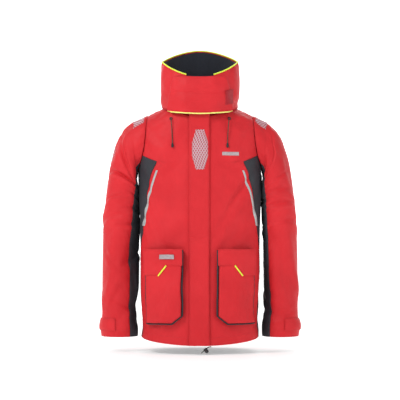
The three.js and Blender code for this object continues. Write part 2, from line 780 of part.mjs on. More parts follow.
// The hem's cord lock, in a frame whose x runs along the cord and whose z runs along the plunger.
const lockRadius = 6.5;
const lockFoot = -4; // from the cord's middle to the closed end
const lockMouth = 10;
const plungerRadius = 4.6;
const plungerTravel = 2;
const lockClearance = 0.4;
const plungerSeat = cordDiameter / 2 + lockClearance + 2.5;
const lockFrame = new THREE.Group();
lockFrame.position.set(...hemCordRoute[4]);
lockFrame.rotation.y = degrees(140);

function rod(radius, from, to, sides = 20) {
  const length = to - from;
  return new THREE.CylinderGeometry(radius, radius, length, sides)
    .rotateX(Math.PI / 2)
    .translate(0, 0, from + length / 2);
}

function hemCordLock() {
  const body = solid(rod(lockRadius, lockFoot, lockMouth));
  const boreRadius = cordDiameter / 2 + lockClearance + 0.4;
  const cordBore = solid(rod(boreRadius, -lockRadius - 2, lockRadius + 2).rotateY(Math.PI / 2));
  const plungerBore = solid(rod(plungerRadius + lockClearance, plungerSeat, lockMouth + 1));
  return geometryOf(body.subtract(cordBore).subtract(plungerBore));
}

function cordLockPlunger() {
  const foot = plungerSeat + plungerTravel + lockClearance;
  const top = lockMouth + plungerTravel + 1;
  return joined(rod(plungerRadius, foot, top), rod(2, foot, top + 0.6));
}

// ---- assembly ----
const jacket = new THREE.Group();

function add(name, geometry, look, parent = jacket) {
  const mesh = new THREE.Mesh(geometry, look);
  mesh.name = name;
  parent.add(mesh);
}

function addPair(name, geometry, look, parent = jacket) {
  add(name + "_left", geometry, look(), parent);
  add(name + "_right", mirrored(geometry), look(), parent);
}

function addShell() {
  add("back_panel", backPanel(0, cloth, 0), shellRed());
  addPair("front_panel", frontPanel(0, cloth, zipGap, 0), shellRed);
  addPair("side_panel", sidePanel(), shellCharcoal);
  add("back_lining", backPanel(-liningSet, liningCloth, 4), liningNavy());
  addPair("front_lining", frontPanel(-liningSet, liningCloth, liningFrontX, 4), liningNavy);
}

function addSleeves() {
  addPair("sleeve", sleeveMain(), shellRed);
  addPair("sleeve_strip", sleeveInner(), shellCharcoal);
  addPair("inner_cuff", innerCuff(), shellCharcoal);
  addPair("cuff_tab", cuffTab(), shellRed);
  addPair("shoulder_reflector", shoulderReflector(), reflective);
  add("sleeve_reflector_right", mirrored(sleeveReflector()), reflective());
}

function addHood() {
  add("hood", hoodSheet(0, cloth, 0, rimRow, 0), shellRed());
  add("hood_lining", hoodSheet(-cloth - liningSlack, liningCloth, 0.1, rimRow - 0.05, 0.02), liningNavy());
  add("hood_binding", hoodBinding(), trimNeon());
  add("face_guard", faceGuard(), shellRed());
  add("guard_piping", guardPiping(), trimNeon());
  add("hook_and_loop_patch", loopPatch(), loopRed());
  add("collar", collarPiece(0, cloth, 0), shellRed());
  add("collar_lining", collarPiece(-cloth - liningSlack, liningCloth, 4), liningNavy());
  add("hanger_loop", hangerLoop(), blackPlastic());
}

function addClosure() {
  jacket.add(closure);
  addPair("zip_tape", zipTape(), zipPlastic, closure);
  addPair("zip_coil", zipCoil(), zipPlastic, closure);
  add("zip_slider", zipSlider(), blackPlastic(), closure);
  add("zip_pull", zipPull(), blackPlastic(), closure);
  add("inner_storm_flap", innerStormFlap(), shellCharcoal(), closure);
  add("storm_flap", stormFlap(), shellRed(), closure);
  add("chest_reflector", chestReflector(), reflective(), closure);
}

function addPockets() {
  addPair("cargo_pocket", pocketFace(), shellRed);
  addPair("pocket_gusset", pocketGusset(), shellCharcoal);
  addPair("pocket_flap", pocketFlap(), shellRed);
  addPair("flap_binding", flapBinding(), trimNeon);
  addPair("pocket_piping", pocketPiping(), reflective);
  add("chest_mark", frontLabel(103, -156, 56, 12, 0), reflective());
  add("pocket_label_right", mirrored(frontLabel(106, pocketTop - 23, 42, 15, flapRaise)), reflective());
}

function addCords() {
  addPair("hood_cord", cord(hoodCordRoute, 16), cordOlive);
  addPair("hood_cord_end", cordEnd(), blackPlastic);
  addPair("cord_eyelet", cordEyelet(), blackPlastic);
  add("hem_cord", cord(hemCordRoute, 16), cordOlive());
  jacket.add(lockFrame);
  add("hem_cord_lock", hemCordLock(), blackPlastic(), lockFrame);
  add("hem_cord_lock_plunger", cordLockPlunger(), blackPlastic(), lockFrame);
}

addShell();
addSleeves();
addHood();
addClosure();
addPockets();
addCords();
export default jacket;
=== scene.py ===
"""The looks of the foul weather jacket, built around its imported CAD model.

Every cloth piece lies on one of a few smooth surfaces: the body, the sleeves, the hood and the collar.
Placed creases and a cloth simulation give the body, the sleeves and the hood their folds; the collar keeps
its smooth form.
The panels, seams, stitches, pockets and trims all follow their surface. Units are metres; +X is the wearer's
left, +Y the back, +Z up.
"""
import math

import bmesh
import bpy
import numpy as np
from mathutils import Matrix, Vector


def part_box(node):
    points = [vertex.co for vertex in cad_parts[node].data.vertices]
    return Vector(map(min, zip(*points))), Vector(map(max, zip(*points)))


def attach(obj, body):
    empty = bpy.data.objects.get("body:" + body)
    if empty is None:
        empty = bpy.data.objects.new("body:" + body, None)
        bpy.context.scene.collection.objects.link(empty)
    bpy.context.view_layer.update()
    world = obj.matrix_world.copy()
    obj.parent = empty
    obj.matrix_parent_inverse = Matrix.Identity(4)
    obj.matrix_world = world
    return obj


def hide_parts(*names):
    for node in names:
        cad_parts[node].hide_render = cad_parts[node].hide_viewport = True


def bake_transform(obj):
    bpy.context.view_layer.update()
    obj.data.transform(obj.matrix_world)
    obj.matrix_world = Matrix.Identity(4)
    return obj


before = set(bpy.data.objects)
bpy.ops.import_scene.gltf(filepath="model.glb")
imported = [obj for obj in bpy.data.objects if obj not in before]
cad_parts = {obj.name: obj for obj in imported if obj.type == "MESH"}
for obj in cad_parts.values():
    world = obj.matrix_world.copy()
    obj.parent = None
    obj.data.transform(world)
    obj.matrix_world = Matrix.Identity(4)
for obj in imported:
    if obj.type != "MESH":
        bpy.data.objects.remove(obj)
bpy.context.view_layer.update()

# ---- sizes that come from the frame ----
def low(node):
    return np.array(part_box(node)[0])


def high(node):
    return np.array(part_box(node)[1])


HEM_Z = low("back_panel")[2]
SIDE_HEM_Z = low("side_panel_left")[2]
BACK_DEPTH = high("back_panel")[1]
SLEEVE_END_Z = low("sleeve_left")[2]
SLEEVE_OUTER = high("sleeve_left")[0]
HOOD_HALF = high("hood")[0] - 0.002
HOOD_TOP = high("hood")[2]
CLOTH = 0.0025  # the CAD sheets' thickness: the room that a layer takes
MM = 0.001


# ---- smooth ringed surfaces ----
def ring_at(rows, v):
    """Rings between a table's rows, on a smooth curve through them."""
    rows = np.asarray(rows, float)
    last = len(rows) - 1
    t = np.clip(v, 0, last)
    i = np.minimum(t.astype(int), last - 1)
    f = (t - i)[..., None]
    a, b = rows[np.maximum(i - 1, 0)], rows[i]
    d, e = rows[i + 1], rows[np.minimum(i + 2, last)]
    first, final = (i == 0)[..., None], (i == last - 1)[..., None]
    slope_in = np.where(first, d - b, (d - a) / 2)
    slope_out = np.where(final, d - b, (e - b) / 2)
    f2, f3 = f * f, f * f * f
    ends = (2 * f3 - 3 * f2 + 1) * b + (f3 - 2 * f2 + f) * slope_in
    return ends + (3 * f2 - 2 * f3) * d + (f3 - f2) * slope_out


def ringed(rows, squareness, v, phi):
    """Points of rings given by half width, side z, front depth, front z, back depth and back z."""
    half, side_z, front, front_z, back, back_z = np.moveaxis(ring_at(rows, v), -1, 0)
    c, s = np.cos(phi), np.sin(phi)
    r = (np.abs(c) ** squareness + np.abs(s) ** squareness) ** (-1 / squareness)
    to_front = s < 0
    z = side_z * c * c + np.where(to_front, front_z, back_z) * s * s
    return np.stack([half * r * c, np.where(to_front, front, back) * r * s, z], -1)


def cubic(grid, y, x, wrap):
    """A grid's value between its points, with a smooth curve along both directions."""
    rows, columns = grid.shape[:2]
    yi, xi = np.floor(y).astype(int), np.floor(x).astype(int)
    fy, fx = (y - yi)[..., None], (x - xi)[..., None]

    def weights(f):
        return (
            -0.5 * f + f * f - 0.5 * f**3,
            1 - 2.5 * f * f + 1.5 * f**3,
            0.5 * f + 2 * f * f - 1.5 * f**3,
            -0.5 * f * f + 0.5 * f**3,
        )

    out = 0
    for j, wy in enumerate(weights(fy)):
        row = np.clip(yi + j - 1, 0, rows - 1)
        for k, wx in enumerate(weights(fx)):
            column = (xi + k - 1) % columns if wrap else np.clip(xi + k - 1, 0, columns - 1)
            out = out + wy * wx * grid[row, column]
    return out


def mirrored_angle(angle, side):
    """The angle on the side asked for: the right-hand half of a surface mirrors its left."""
    return -math.pi - angle if side < 0 else angle


class Surface:
    """A smooth base surface over rings v and an angle, and the folds that a simulation adds to it."""

    def __init__(self, base, v_span, angle_span, shape, wrap, outward, mirrored=False):
        self.base = base
        self.v_span = v_span
        self.angle_span = angle_span
        self.shape = shape
        self.wrap = wrap
        self.outward = outward
        self.mirrored = mirrored  # the right-hand piece is this surface's mirror image
        self.folds = None
        self.creases = ()

    def grid_parameters(self):
        rows, columns = self.shape
        v = np.linspace(*self.v_span, rows)
        angle = np.linspace(*self.angle_span, columns, endpoint=not self.wrap)
        return np.meshgrid(v, angle, indexing="ij")

    def fold(self, v, angle):
        if self.folds is None:
            return 0.0
        rows, columns = self.shape
        y = (v - self.v_span[0]) / (self.v_span[1] - self.v_span[0]) * (rows - 1)
        steps = columns if self.wrap else columns - 1
        x = (angle - self.angle_span[0]) / (self.angle_span[1] - self.angle_span[0]) * steps
        if not self.wrap:
            x = np.clip(x, 0, columns - 1)
        return cubic(self.folds, np.clip(y, 0, rows - 1), x, self.wrap)

    def creased(self, v, angle):
        """The surface with its large creases alone."""
        points = self.base(v, angle)
        if not len(self.creases):
            return points
        shift = 0.0
        for v_middle, angle_middle, slope, width, reach, depth in self.creases:
            turn = (angle - angle_middle + math.pi) % (2 * math.pi) - math.pi
            off = (v - v_middle - slope * turn) / width
            fold = np.exp(-(off**2)) - 0.5 * np.exp(-((off - 1.5) ** 2))
            shift = shift + depth * fold * np.exp(-((turn / reach) ** 2))
        v_from, v_to = self.v_span
        held = np.clip((v - v_from) / 0.6, 0, 1) * np.clip((v_to - v) / 0.35, 0, 1)
        out = self.outward(v, angle)
        out = out / np.linalg.norm(out, axis=-1, keepdims=True)
        return points - out * (shift * held)[..., None]

    def flat(self, v, angle):
        return self.creased(v, angle) + self.fold(v, angle)

    def normal(self, v, angle):
        dv, da = 0.02, 0.012
        along = self.base(v + dv, angle) - self.base(v - dv, angle)
        across = self.base(v, angle + da) - self.base(v, angle - da)
        n = np.cross(across, along)
        n /= np.maximum(np.linalg.norm(n, axis=-1, keepdims=True), 1e-12)
        side = np.sign(np.sum(n * self.outward(v, angle), -1, keepdims=True))
        return n * np.where(side == 0, 1, side)

    def at(self, v, angle, lift=0.0):
        v, angle = np.broadcast_arrays(np.asarray(v, float), np.asarray(angle, float))
        lift = np.asarray(lift, float)
        return self.flat(v, angle) + self.normal(v, angle) * (lift[..., None] if lift.ndim else lift)


# ---- the body ----
CLOSURE_TOP_Z = -0.046
CLOSURE_TOP_DEPTH = 0.111
CLOSURE_HEM_DEPTH = 0.140
BODY_SQUARENESS = 2.8


def closure_depth(z):
    slope = (CLOSURE_HEM_DEPTH - CLOSURE_TOP_DEPTH) / (CLOSURE_TOP_Z - HEM_Z)
    return CLOSURE_TOP_DEPTH + slope * (CLOSURE_TOP_Z - z)


NECK_HALF, SHOULDER_HALF, WAIST_HALF, HEM_HALF = 0.104, 0.176, 0.205, 0.201
ARMPIT_Z = -0.235
NECK_DEPTH_BACK = 0.072
side_z_at = lambda share: ARMPIT_Z + (SIDE_HEM_Z - ARMPIT_Z) * share
body_rows = [
    [NECK_HALF, 0.012, closure_depth(-0.034), -0.034, NECK_DEPTH_BACK, 0.006],
    [0.140, -0.006, closure_depth(-0.052), -0.052, NECK_DEPTH_BACK + 0.024, -0.006],
    [SHOULDER_HALF, -0.025, closure_depth(-0.082), -0.082, NECK_DEPTH_BACK + 0.042, -0.026],
    [0.200, -0.064, closure_depth(-0.122), -0.122, BACK_DEPTH - 0.016, -0.074],
    [0.212, -0.150, closure_depth(-0.190), -0.190, BACK_DEPTH - 0.007, -0.160],
    [0.212, ARMPIT_Z, closure_depth(-0.250), -0.250, BACK_DEPTH - 0.002, -0.242],
    [WAIST_HALF, side_z_at(0.34), closure_depth(-0.430), -0.430, BACK_DEPTH, -0.426],
    [0.203, side_z_at(0.67), closure_depth(-0.612), -0.612, BACK_DEPTH, -0.610],
    [HEM_HALF, SIDE_HEM_Z, closure_depth(HEM_Z), HEM_Z, BACK_DEPTH, HEM_Z],
]
HEM_ROW = len(body_rows) - 1
FRONT = -math.pi / 2


def radial(v, angle):
    angle = np.broadcast_to(angle, np.shape(v))
    return np.stack([np.cos(angle), np.sin(angle), np.zeros(np.shape(angle))], -1)


body = Surface(
    lambda v, a: ringed(body_rows, BODY_SQUARENESS, v, a),
    (0, HEM_ROW), (FRONT, FRONT + 2 * math.pi), (84, 132), True, radial,
)


def phi_at_x(v, x):
    """The angle of a ring's front point at distance x from the centre."""
    half = ring_at(body_rows, v)[..., 0]
    q = np.minimum(np.abs(x) / half, 0.9999)
    depth = (1 - q**BODY_SQUARENESS) ** (1 / BODY_SQUARENESS)
    return np.arctan2(-depth, np.sign(x) * q)


def on_front(x, z):
    """The ring and angle of the front's point at x and z."""
    x, z = np.broadcast_arrays(np.asarray(x, float), np.asarray(z, float))
    bottom, top = np.zeros(x.shape), np.full(x.shape, float(HEM_ROW))
    for _ in range(28):
        middle = (bottom + top) / 2
        above = body.base(middle, phi_at_x(middle, x))[..., 2] > z
        bottom, top = np.where(above, middle, bottom), np.where(above, top, middle)
    v = (bottom + top) / 2
    return v, phi_at_x(v, x)


# ---- the sleeves: alpha is 0 on the outer side and 90 degrees at the back ----
ARMHOLE_TOP, ARMHOLE_BOTTOM, ARMHOLE_ANGLE = 2, 5, math.radians(34)
SLEEVE_INNER = 0.217
sleeve_rows = [
    [0.228, -0.042, SLEEVE_INNER + 0.001, ARMPIT_Z - 0.004, 0.072],
    [0.268, -0.076, SLEEVE_INNER - 0.009, ARMPIT_Z - 0.032, 0.080],
    [0.296, -0.134, SLEEVE_INNER - 0.014, ARMPIT_Z - 0.062, 0.080],
    [0.314, -0.200, SLEEVE_INNER - 0.012, ARMPIT_Z - 0.100, 0.077],
    [SLEEVE_OUTER - 0.011, -0.310, SLEEVE_INNER - 0.010, ARMPIT_Z - 0.170, 0.071],
    [SLEEVE_OUTER - 0.002, -0.430, SLEEVE_INNER - 0.005, ARMPIT_Z - 0.245, 0.067],
    [SLEEVE_OUTER, -0.610, SLEEVE_INNER - 0.003, -0.620, 0.062],
    [SLEEVE_OUTER - 0.001, SLEEVE_END_Z, SLEEVE_INNER - 0.004, SLEEVE_END_Z, 0.058],
]
SLEEVE_LAST = len(sleeve_rows)


def armhole_point(alpha):
    v = ARMHOLE_TOP + (ARMHOLE_BOTTOM - ARMHOLE_TOP) * (1 - np.cos(alpha)) / 2
    return body.at(v, ARMHOLE_ANGLE * np.sin(alpha), 0.0015)


def sleeve_base(v, alpha):
    outer_x, outer_z, inner_x, inner_z, depth = np.moveaxis(ring_at(sleeve_rows, v - 1), -1, 0)
    c = (1 + np.cos(alpha)) / 2
    ring = np.stack(
        [inner_x + (outer_x - inner_x) * c, depth * np.sin(alpha), inner_z + (outer_z - inner_z) * c], -1
    )
    near = np.clip(v, 0, 1)[..., None]
    return armhole_point(alpha) * (1 - near) + ring * near


def sleeve_outward(v, alpha):
    return np.stack([np.cos(alpha), np.sin(alpha), 0.3 * np.cos(alpha)], -1)


def new_sleeve():
    return Surface(sleeve_base, (0, SLEEVE_LAST), (0, 2 * math.pi), (84, 44), True, sleeve_outward, True)


# ---- the hood and the collar ----
HOOD_SQUARENESS = 2.4
hood_rows = [
    [HOOD_HALF - 0.002, 0.002, 0.128, -0.026, 0.092, 0.008],
    [HOOD_HALF + 0.002, 0.056, 0.132, 0.030, 0.100, HOOD_TOP * 0.34],
    [HOOD_HALF + 0.004, 0.110, 0.130, 0.066, 0.104, HOOD_TOP * 0.68],
    [HOOD_HALF - 0.001, 0.161, 0.122, 0.101, 0.100, HOOD_TOP + 0.008],
]
HOOD_LAST = len(hood_rows) - 1
hood = Surface(
    lambda v, a: ringed(hood_rows, HOOD_SQUARENESS, v, a),
    (0, HOOD_LAST), (FRONT, FRONT + 2 * math.pi), (26, 88), True, radial,
)
collar_rows = [
    [0.101, 0.006, 0.104, -0.044, 0.070, 0.002],
    [0.099, 0.042, 0.099, 0.009, 0.067, 0.037],
    [0.096, 0.067, 0.094, 0.044, 0.064, 0.062],
]
collar = Surface(
    lambda v, a: ringed(collar_rows, BODY_SQUARENESS, v, a),
    (0, 2), (FRONT, FRONT + 2 * math.pi), (10, 120), True, radial,
)


# ---- cloth simulation: folds for the body, the sleeves and the hood at once ----
SIM_FRAMES = 26
MOST_FOLD = 0.005
FOLD_SHARE = 0.45  # how much of the simulated folds is kept
DRIFT_PASSES = 30  # smoothing that leaves only the slow drift, which is taken off


def smoothed(grid, times=2):
    """Takes the shortest waves out of a grid that closes on itself across."""
    for _ in range(times):
        grid = (np.roll(grid, 1, 1) + 2 * grid + np.roll(grid, -1, 1)) / 4
        middle = (grid[:-2] + 2 * grid[1:-1] + grid[2:]) / 4
        grid = np.concatenate([grid[:1], middle, grid[-1:]])
    return grid


def simulate(jobs):
    """Lets each surface's cloth, cut larger than its form, buckle under its own weight between its seams."""
    scene = bpy.context.scene
    made = []
    for name, surface, pin, settings in jobs:
        v, angle = surface.grid_parameters()
        rows, columns = v.shape
        points = surface.creased(v, angle)
        rng = np.random.default_rng(settings["seed"])
        nudge = settings["nudge"] * rng.standard_normal(v.shape)
        start = points + surface.outward(v, angle) * nudge[..., None]
        index = np.arange(rows * columns).reshape(rows, columns)
        right = np.roll(index, -1, 1)
        quads = np.stack([index[:-1], right[:-1], right[1:], index[1:]], -1)
        mesh = bpy.data.meshes.new(name)
        mesh.from_pydata(start.reshape(-1, 3).tolist(), [], quads.reshape(-1, 4).tolist())
        obj = bpy.data.objects.new(name, mesh)
        scene.collection.objects.link(obj)
        group = obj.vertex_groups.new(name="held")
        flat_pin = pin.reshape(-1)
        for weight in np.unique(flat_pin):
            if weight > 0:
                group.add(np.nonzero(flat_pin == weight)[0].tolist(), float(weight), "REPLACE")
        cloth = obj.modifiers.new("cloth", "CLOTH")
        c = cloth.settings
        c.quality = 6
        c.mass = 0.12
        c.tension_stiffness = c.compression_stiffness = settings["stretch"]
        c.shear_stiffness = settings["stretch"] / 3
        c.bending_stiffness = settings["bending"]
        c.air_damping = 2
        c.vertex_group_mass = "held"
        c.pin_stiffness = 1
        c.shrink_min = -settings["growth"]
        c.use_pressure = True
        c.uniform_pressure_force = settings["pressure"]
        c.effector_weights.gravity = settings["gravity"]
        cloth.collision_settings.use_collision = False
        cloth.point_cache.frame_start = 1
        cloth.point_cache.frame_end = SIM_FRAMES
        made.append((surface, obj, points))
    for number in range(1, SIM_FRAMES + 1):
        scene.frame_set(number)
    graph = bpy.context.evaluated_depsgraph_get()
    for surface, obj, points in made:
        done = obj.evaluated_get(graph)
        co = np.empty(len(obj.data.vertices) * 3)
        done.data.vertices.foreach_get("co", co)
        raw = co.reshape(points.shape) - points
        folds = FOLD_SHARE * (smoothed(raw, 1) - smoothed(raw, DRIFT_PASSES))
        length = np.linalg.norm(folds, axis=-1, keepdims=True)
        surface.folds = folds * np.minimum(1, MOST_FOLD / np.maximum(length, 1e-9))
    for surface, obj, points in made:
        bpy.data.objects.remove(obj)
    scene.frame_set(1)


def soft_step(x, start, end):
    t = np.clip((x - start) / (end - start), 0, 1)
    return t * t * (3 - 2 * t)


def armhole_spread(v):
    cosine = 1 - 2 * (v - ARMHOLE_TOP) / (ARMHOLE_BOTTOM - ARMHOLE_TOP)
    return ARMHOLE_ANGLE * np.sqrt(np.maximum(0, 1 - cosine * cosine))


def side_angle(angle):
    """How far an angle is from the nearest side of the body, 0 at the side."""
    return np.abs(np.arcsin(np.clip(np.sin(angle), -1, 1)))


def body_job():
    v, angle = body.grid_parameters()
    x = np.abs(body.base(v, angle)[..., 0])
    pin = np.full(v.shape, 0.02)
    pin[(v < 0.4) | (v > HEM_ROW - 0.05)] = 1.0
    pin[(np.sin(angle) < 0) & (x < 0.045)] = 1.0
    in_hole = (v > ARMHOLE_TOP) & (v < ARMHOLE_BOTTOM) & (side_angle(angle) < armhole_spread(v) + 0.04)
    pin[in_hole] = 1.0
    settings = dict(seed=3, nudge=0.0004, stretch=24, bending=1.2, growth=0.03, pressure=0.4, gravity=0.6)
    return "body_cloth", body, pin, settings


def sleeve_job(name, surface, seed):
    v, angle = surface.grid_parameters()
    pin = np.full(v.shape, 0.004)
    pin[(v < 0.15) | (v > SLEEVE_LAST - 0.25)] = 1.0
    settings = dict(
        seed=seed, nudge=0.0006, stretch=20, bending=0.8, growth=0.055, pressure=0.5, gravity=1.0
    )
    return name, surface, pin, settings


def hood_job():
    v, angle = hood.grid_parameters()
    pin = np.full(v.shape, 0.01)
    pin[(v < 0.05) | (v > HOOD_LAST - 0.02)] = 1.0
    pin[np.abs(np.sin((angle - FRONT) / 2)) < 0.12] = 0.6
    settings = dict(seed=11, nudge=0.0006, stretch=20, bending=0.8, growth=0.06, pressure=0.3, gravity=1.0)
    return "hood_cloth", hood, pin, settings


def scattered(seed, count, v_span, angle_span, slope, width, reach, depth):
    """Soft creases at seeded places: middle, slope, width, reach round the form, and depth."""
    rng = np.random.default_rng(seed)
    spans = (v_span, angle_span, slope, width, reach, depth)
    return [[rng.uniform(*span) for span in spans] for _ in range(count)]


def degrees_span(low_angle, high_angle):
    return math.radians(low_angle), math.radians(high_angle)


sleeve_left, sleeve_right = new_sleeve(), new_sleeve()
for surface, seed in ((sleeve_left, 61), (sleeve_right, 74)):
    surface.creases = (
        scattered(
            seed, 7, (3.4, 5.4), degrees_span(180, 300), (0.25, 0.7),
            (0.07, 0.13), (0.5, 1.0), (0.004, 0.0068),
        )
        + scattered(
            seed + 1, 5, (3.6, 6.4), degrees_span(60, 170), (-0.6, -0.2),
            (0.08, 0.15), (0.5, 0.9), (0.0036, 0.006),
        )
        + scattered(
            seed + 2, 5, (1.2, 2.8), degrees_span(190, 290), (-0.9, -0.3),
            (0.10, 0.18), (0.4, 0.8), (0.0034, 0.0055),
        )
        + scattered(
            seed + 3, 5, (6.2, 7.6), degrees_span(180, 330), (-0.3, 0.4),
            (0.06, 0.11), (0.5, 1.1), (0.0028, 0.0048),
        )
    )
body.creases = (
    scattered(
        81, 5, (4.6, 6.2), degrees_span(-60, -25), (-2.2, -1.0),
        (0.10, 0.18), (0.18, 0.3), (0.0028, 0.0048),
    )
    + scattered(
        82, 5, (4.6, 6.2), degrees_span(-155, -120), (1.0, 2.2),
        (0.10, 0.18), (0.18, 0.3), (0.0028, 0.0048),
    )
    + scattered(
        83, 7, (2.0, 5.0), degrees_span(40, 140), (-0.8, 0.8),
        (0.10, 0.2), (0.3, 0.6), (0.0028, 0.0048),
    )
    + scattered(
        84, 6, (5.4, 7.4), degrees_span(30, 150), (-1.2, 1.2),
        (0.08, 0.16), (0.3, 0.6), (0.003, 0.0052),
    )
)
hood.creases = (
    scattered(
        91, 4, (0.6, 2.4), degrees_span(-10, 60), (-1.6, -0.7),
        (0.12, 0.22), (0.3, 0.6), (0.0036, 0.006),
    )
    + scattered(
        92, 4, (0.6, 2.4), degrees_span(120, 190), (0.7, 1.6),
        (0.12, 0.22), (0.3, 0.6), (0.0036, 0.006),
    )
    + scattered(
        93, 3, (0.5, 1.6), degrees_span(60, 120), (-0.5, 0.5),
        (0.12, 0.2), (0.4, 0.8), (0.0036, 0.006),
    )
)
simulate([
    body_job(),
    sleeve_job("sleeve_cloth_left", sleeve_left, 5),
    sleeve_job("sleeve_cloth_right", sleeve_right, 8),
    hood_job(),
])


# ---- meshes ----
def link_smooth(name, mesh, smooth=True):
    mesh.polygons.foreach_set("use_smooth", np.full(len(mesh.polygons), smooth))
    obj = bpy.data.objects.new(name, mesh)
    bpy.context.scene.collection.objects.link(obj)
    return obj


def tube_faces(count, sides, wrap=False):
    """The faces between rings of points, with both ends closed unless the tube is a loop."""
    index = np.arange(count * sides).reshape(count, sides)
    index = np.hstack([index, index[:, :1]])
    if wrap:
        index = np.vstack([index, index[:1]])
    quads = np.stack([index[:-1, :-1], index[:-1, 1:], index[1:, 1:], index[1:, :-1]], -1)
    faces = quads.reshape(-1, 4).tolist()
    if not wrap:
        faces += [list(range(sides))[::-1], list(range((count - 1) * sides, count * sides))]
    return faces


def new_object(name, points, faces, uv=None, smooth=True):
    mesh = bpy.data.meshes.new(name)
    mesh.from_pydata(np.asarray(points).reshape(-1, 3).tolist(), [], np.asarray(faces).tolist())
    if uv is not None:
        layer = mesh.uv_layers.new(name="cloth")
        corner = np.empty(len(mesh.loops), np.int32)
        mesh.loops.foreach_get("vertex_index", corner)
        layer.data.foreach_set("uv", np.asarray(uv)[corner].astype(np.float32).reshape(-1))
    mesh.validate()
    mesh.update()
    obj = link_smooth(name, mesh, smooth)
    return obj


def arc(grid, axis):
    step = np.linalg.norm(np.diff(grid, axis=axis), axis=-1)
    start = np.zeros_like(np.take(step, [0], axis))
    return np.concatenate([start, np.cumsum(step, axis)], axis)


def slab(name, outer, inner, wrap=False):
    """A closed cloth body between two grids of points, with its faces out."""
    rows, columns = outer.shape[:2]
    index = np.arange(rows * columns).reshape(rows, columns)
    under = index + rows * columns
    if wrap:
        index, under = np.hstack([index, index[:, :1]]), np.hstack([under, under[:, :1]])
    quad = lambda a, b, c, d: np.stack([a, b, c, d], -1).reshape(-1, 4)
    faces = [
        quad(index[:-1, :-1], index[:-1, 1:], index[1:, 1:], index[1:, :-1]),
        quad(under[:-1, :-1], under[1:, :-1], under[1:, 1:], under[:-1, 1:]),
        quad(index[0, 1:], index[0, :-1], under[0, :-1], under[0, 1:]),
        quad(index[-1, :-1], index[-1, 1:], under[-1, 1:], under[-1, :-1]),
    ]
    if not wrap:
        faces.append(quad(index[:-1, 0], index[1:, 0], under[1:, 0], under[:-1, 0]))
        faces.append(quad(index[1:, -1], index[:-1, -1], under[:-1, -1], under[1:, -1]))
    faces = np.concatenate(faces)
    points = np.concatenate([outer.reshape(-1, 3), inner.reshape(-1, 3)])
    a, b, c = (points[faces[:, k]] for k in range(3))
    d = points[faces[:, 3]]
    volume = np.sum(a * np.cross(b, c)) + np.sum(a * np.cross(c, d))
    if volume < 0:
        faces = faces[:, ::-1]
    uv = np.stack([arc(outer, 1), arc(outer, 0)], -1).reshape(-1, 2)
    return new_object(name, points, faces, np.concatenate([uv, uv]))


class Panel:
    """A piece of cloth cut from a surface: place(a, b) gives its ring and angle for a and b from 0 to 1."""

    def __init__(self, surface, place, across, down, lift=0.0, side=1, extra=None):
        a, b = np.meshgrid(across, down)
        v, angle = place(a, b)
        if not surface.mirrored:
            angle = mirrored_angle(angle, side)
        raise_by = lift + (extra(a, b) if extra else 0.0)
        self.side = side
        grid = surface.at(v, angle, np.broadcast_to(raise_by, a.shape))
        outward = surface.normal(v, angle)
        flip = [-1, 1, 1] if side < 0 and surface.mirrored else [1, 1, 1]
        self.grid = grid * flip
        self.outward = outward * flip

    def distance(self, edge):
        """How far each point of the grid is from an edge, along the cloth."""
        if edge in ("left", "right"):
            along = arc(self.grid, 1)
            return along if edge == "left" else along[:, -1:] - along
        along = arc(self.grid, 0)
        return along if edge == "top" else along[-1:] - along

    def roll(self, edges, depth=0.0011, width=0.0016):
        """Turns edges in towards a seam."""
        drop = np.zeros(self.grid.shape[:2])
        for edge in edges:
            drop = np.maximum(drop, depth * np.exp(-((self.distance(edge) / width) ** 2)))
        self.grid = self.grid - self.outward * drop[..., None]
        return self

    def pucker(self, edges, height=0.0007, wave=0.021, reach=0.016, seed=1):
        """Small gathers along sewn edges."""
        rng = np.random.default_rng(seed)
        shift = np.zeros(self.grid.shape[:2])
        for edge in edges:
            along = arc(self.grid, 0 if edge in ("left", "right") else 1)
            off = rng.uniform(0, 6.28, 3)
            short = np.sin(6.283 * along / wave + off[0]) * 0.6
            ripple = short + np.sin(6.283 * along / (wave * 1.7) + off[1])
            d = self.distance(edge)
            shift = shift + height * ripple * np.exp(-((d / reach) ** 2)) * np.clip(d / 0.003, 0, 1)
        self.grid = self.grid + self.outward * shift[..., None]
        return self

    def build(self, name, thickness=0.0013):
        self.piece = slab(name, self.grid, self.grid - self.outward * thickness)
        return self.piece

    def flat_size(self):
        width = float(arc(self.grid, 1)[:, -1].max())
        length = float(arc(self.grid, 0)[-1].max())
        a = self.grid[1:, 1:] - self.grid[:-1, :-1]
        b = self.grid[1:, :-1] - self.grid[:-1, 1:]
        area = float(np.linalg.norm(np.cross(a, b), axis=-1).sum() / 2)
        return width, length, area

    def line(self, edge, distance):
        """A line on the cloth at a distance from an edge, with its normals."""
        grid = self.grid if edge in ("left", "right") else np.swapaxes(self.grid, 0, 1)
        out = self.outward if edge in ("left", "right") else np.swapaxes(self.outward, 0, 1)
        if edge in ("right", "bottom"):
            grid, out = grid[:, ::-1], out[:, ::-1]
        along = arc(grid, 1)
        points, normals = [], []
        for row, normal, s in zip(grid, out, along):
            points.append([np.interp(distance, s, row[:, k]) for k in range(3)])
            normals.append([np.interp(distance, s, normal[:, k]) for k in range(3)])
        return np.array(points), np.array(normals)


def dense(count, fine=(0.0015, 0.004, 0.008, 0.014)):
    """Steps from 0 to 1 that crowd towards both ends, where the seams are."""
    even = np.linspace(0, 1, count + 1)
    near = np.array(fine)
    even = even[(even == 0) | (even == 1) | ((even > near[-1] * 1.3) & (even < 1 - near[-1] * 1.3))]
    return np.unique(np.concatenate([even, near, 1 - near]))


STITCH, STITCH_GAP, THREAD = 0.0032, 0.0012, 0.00032


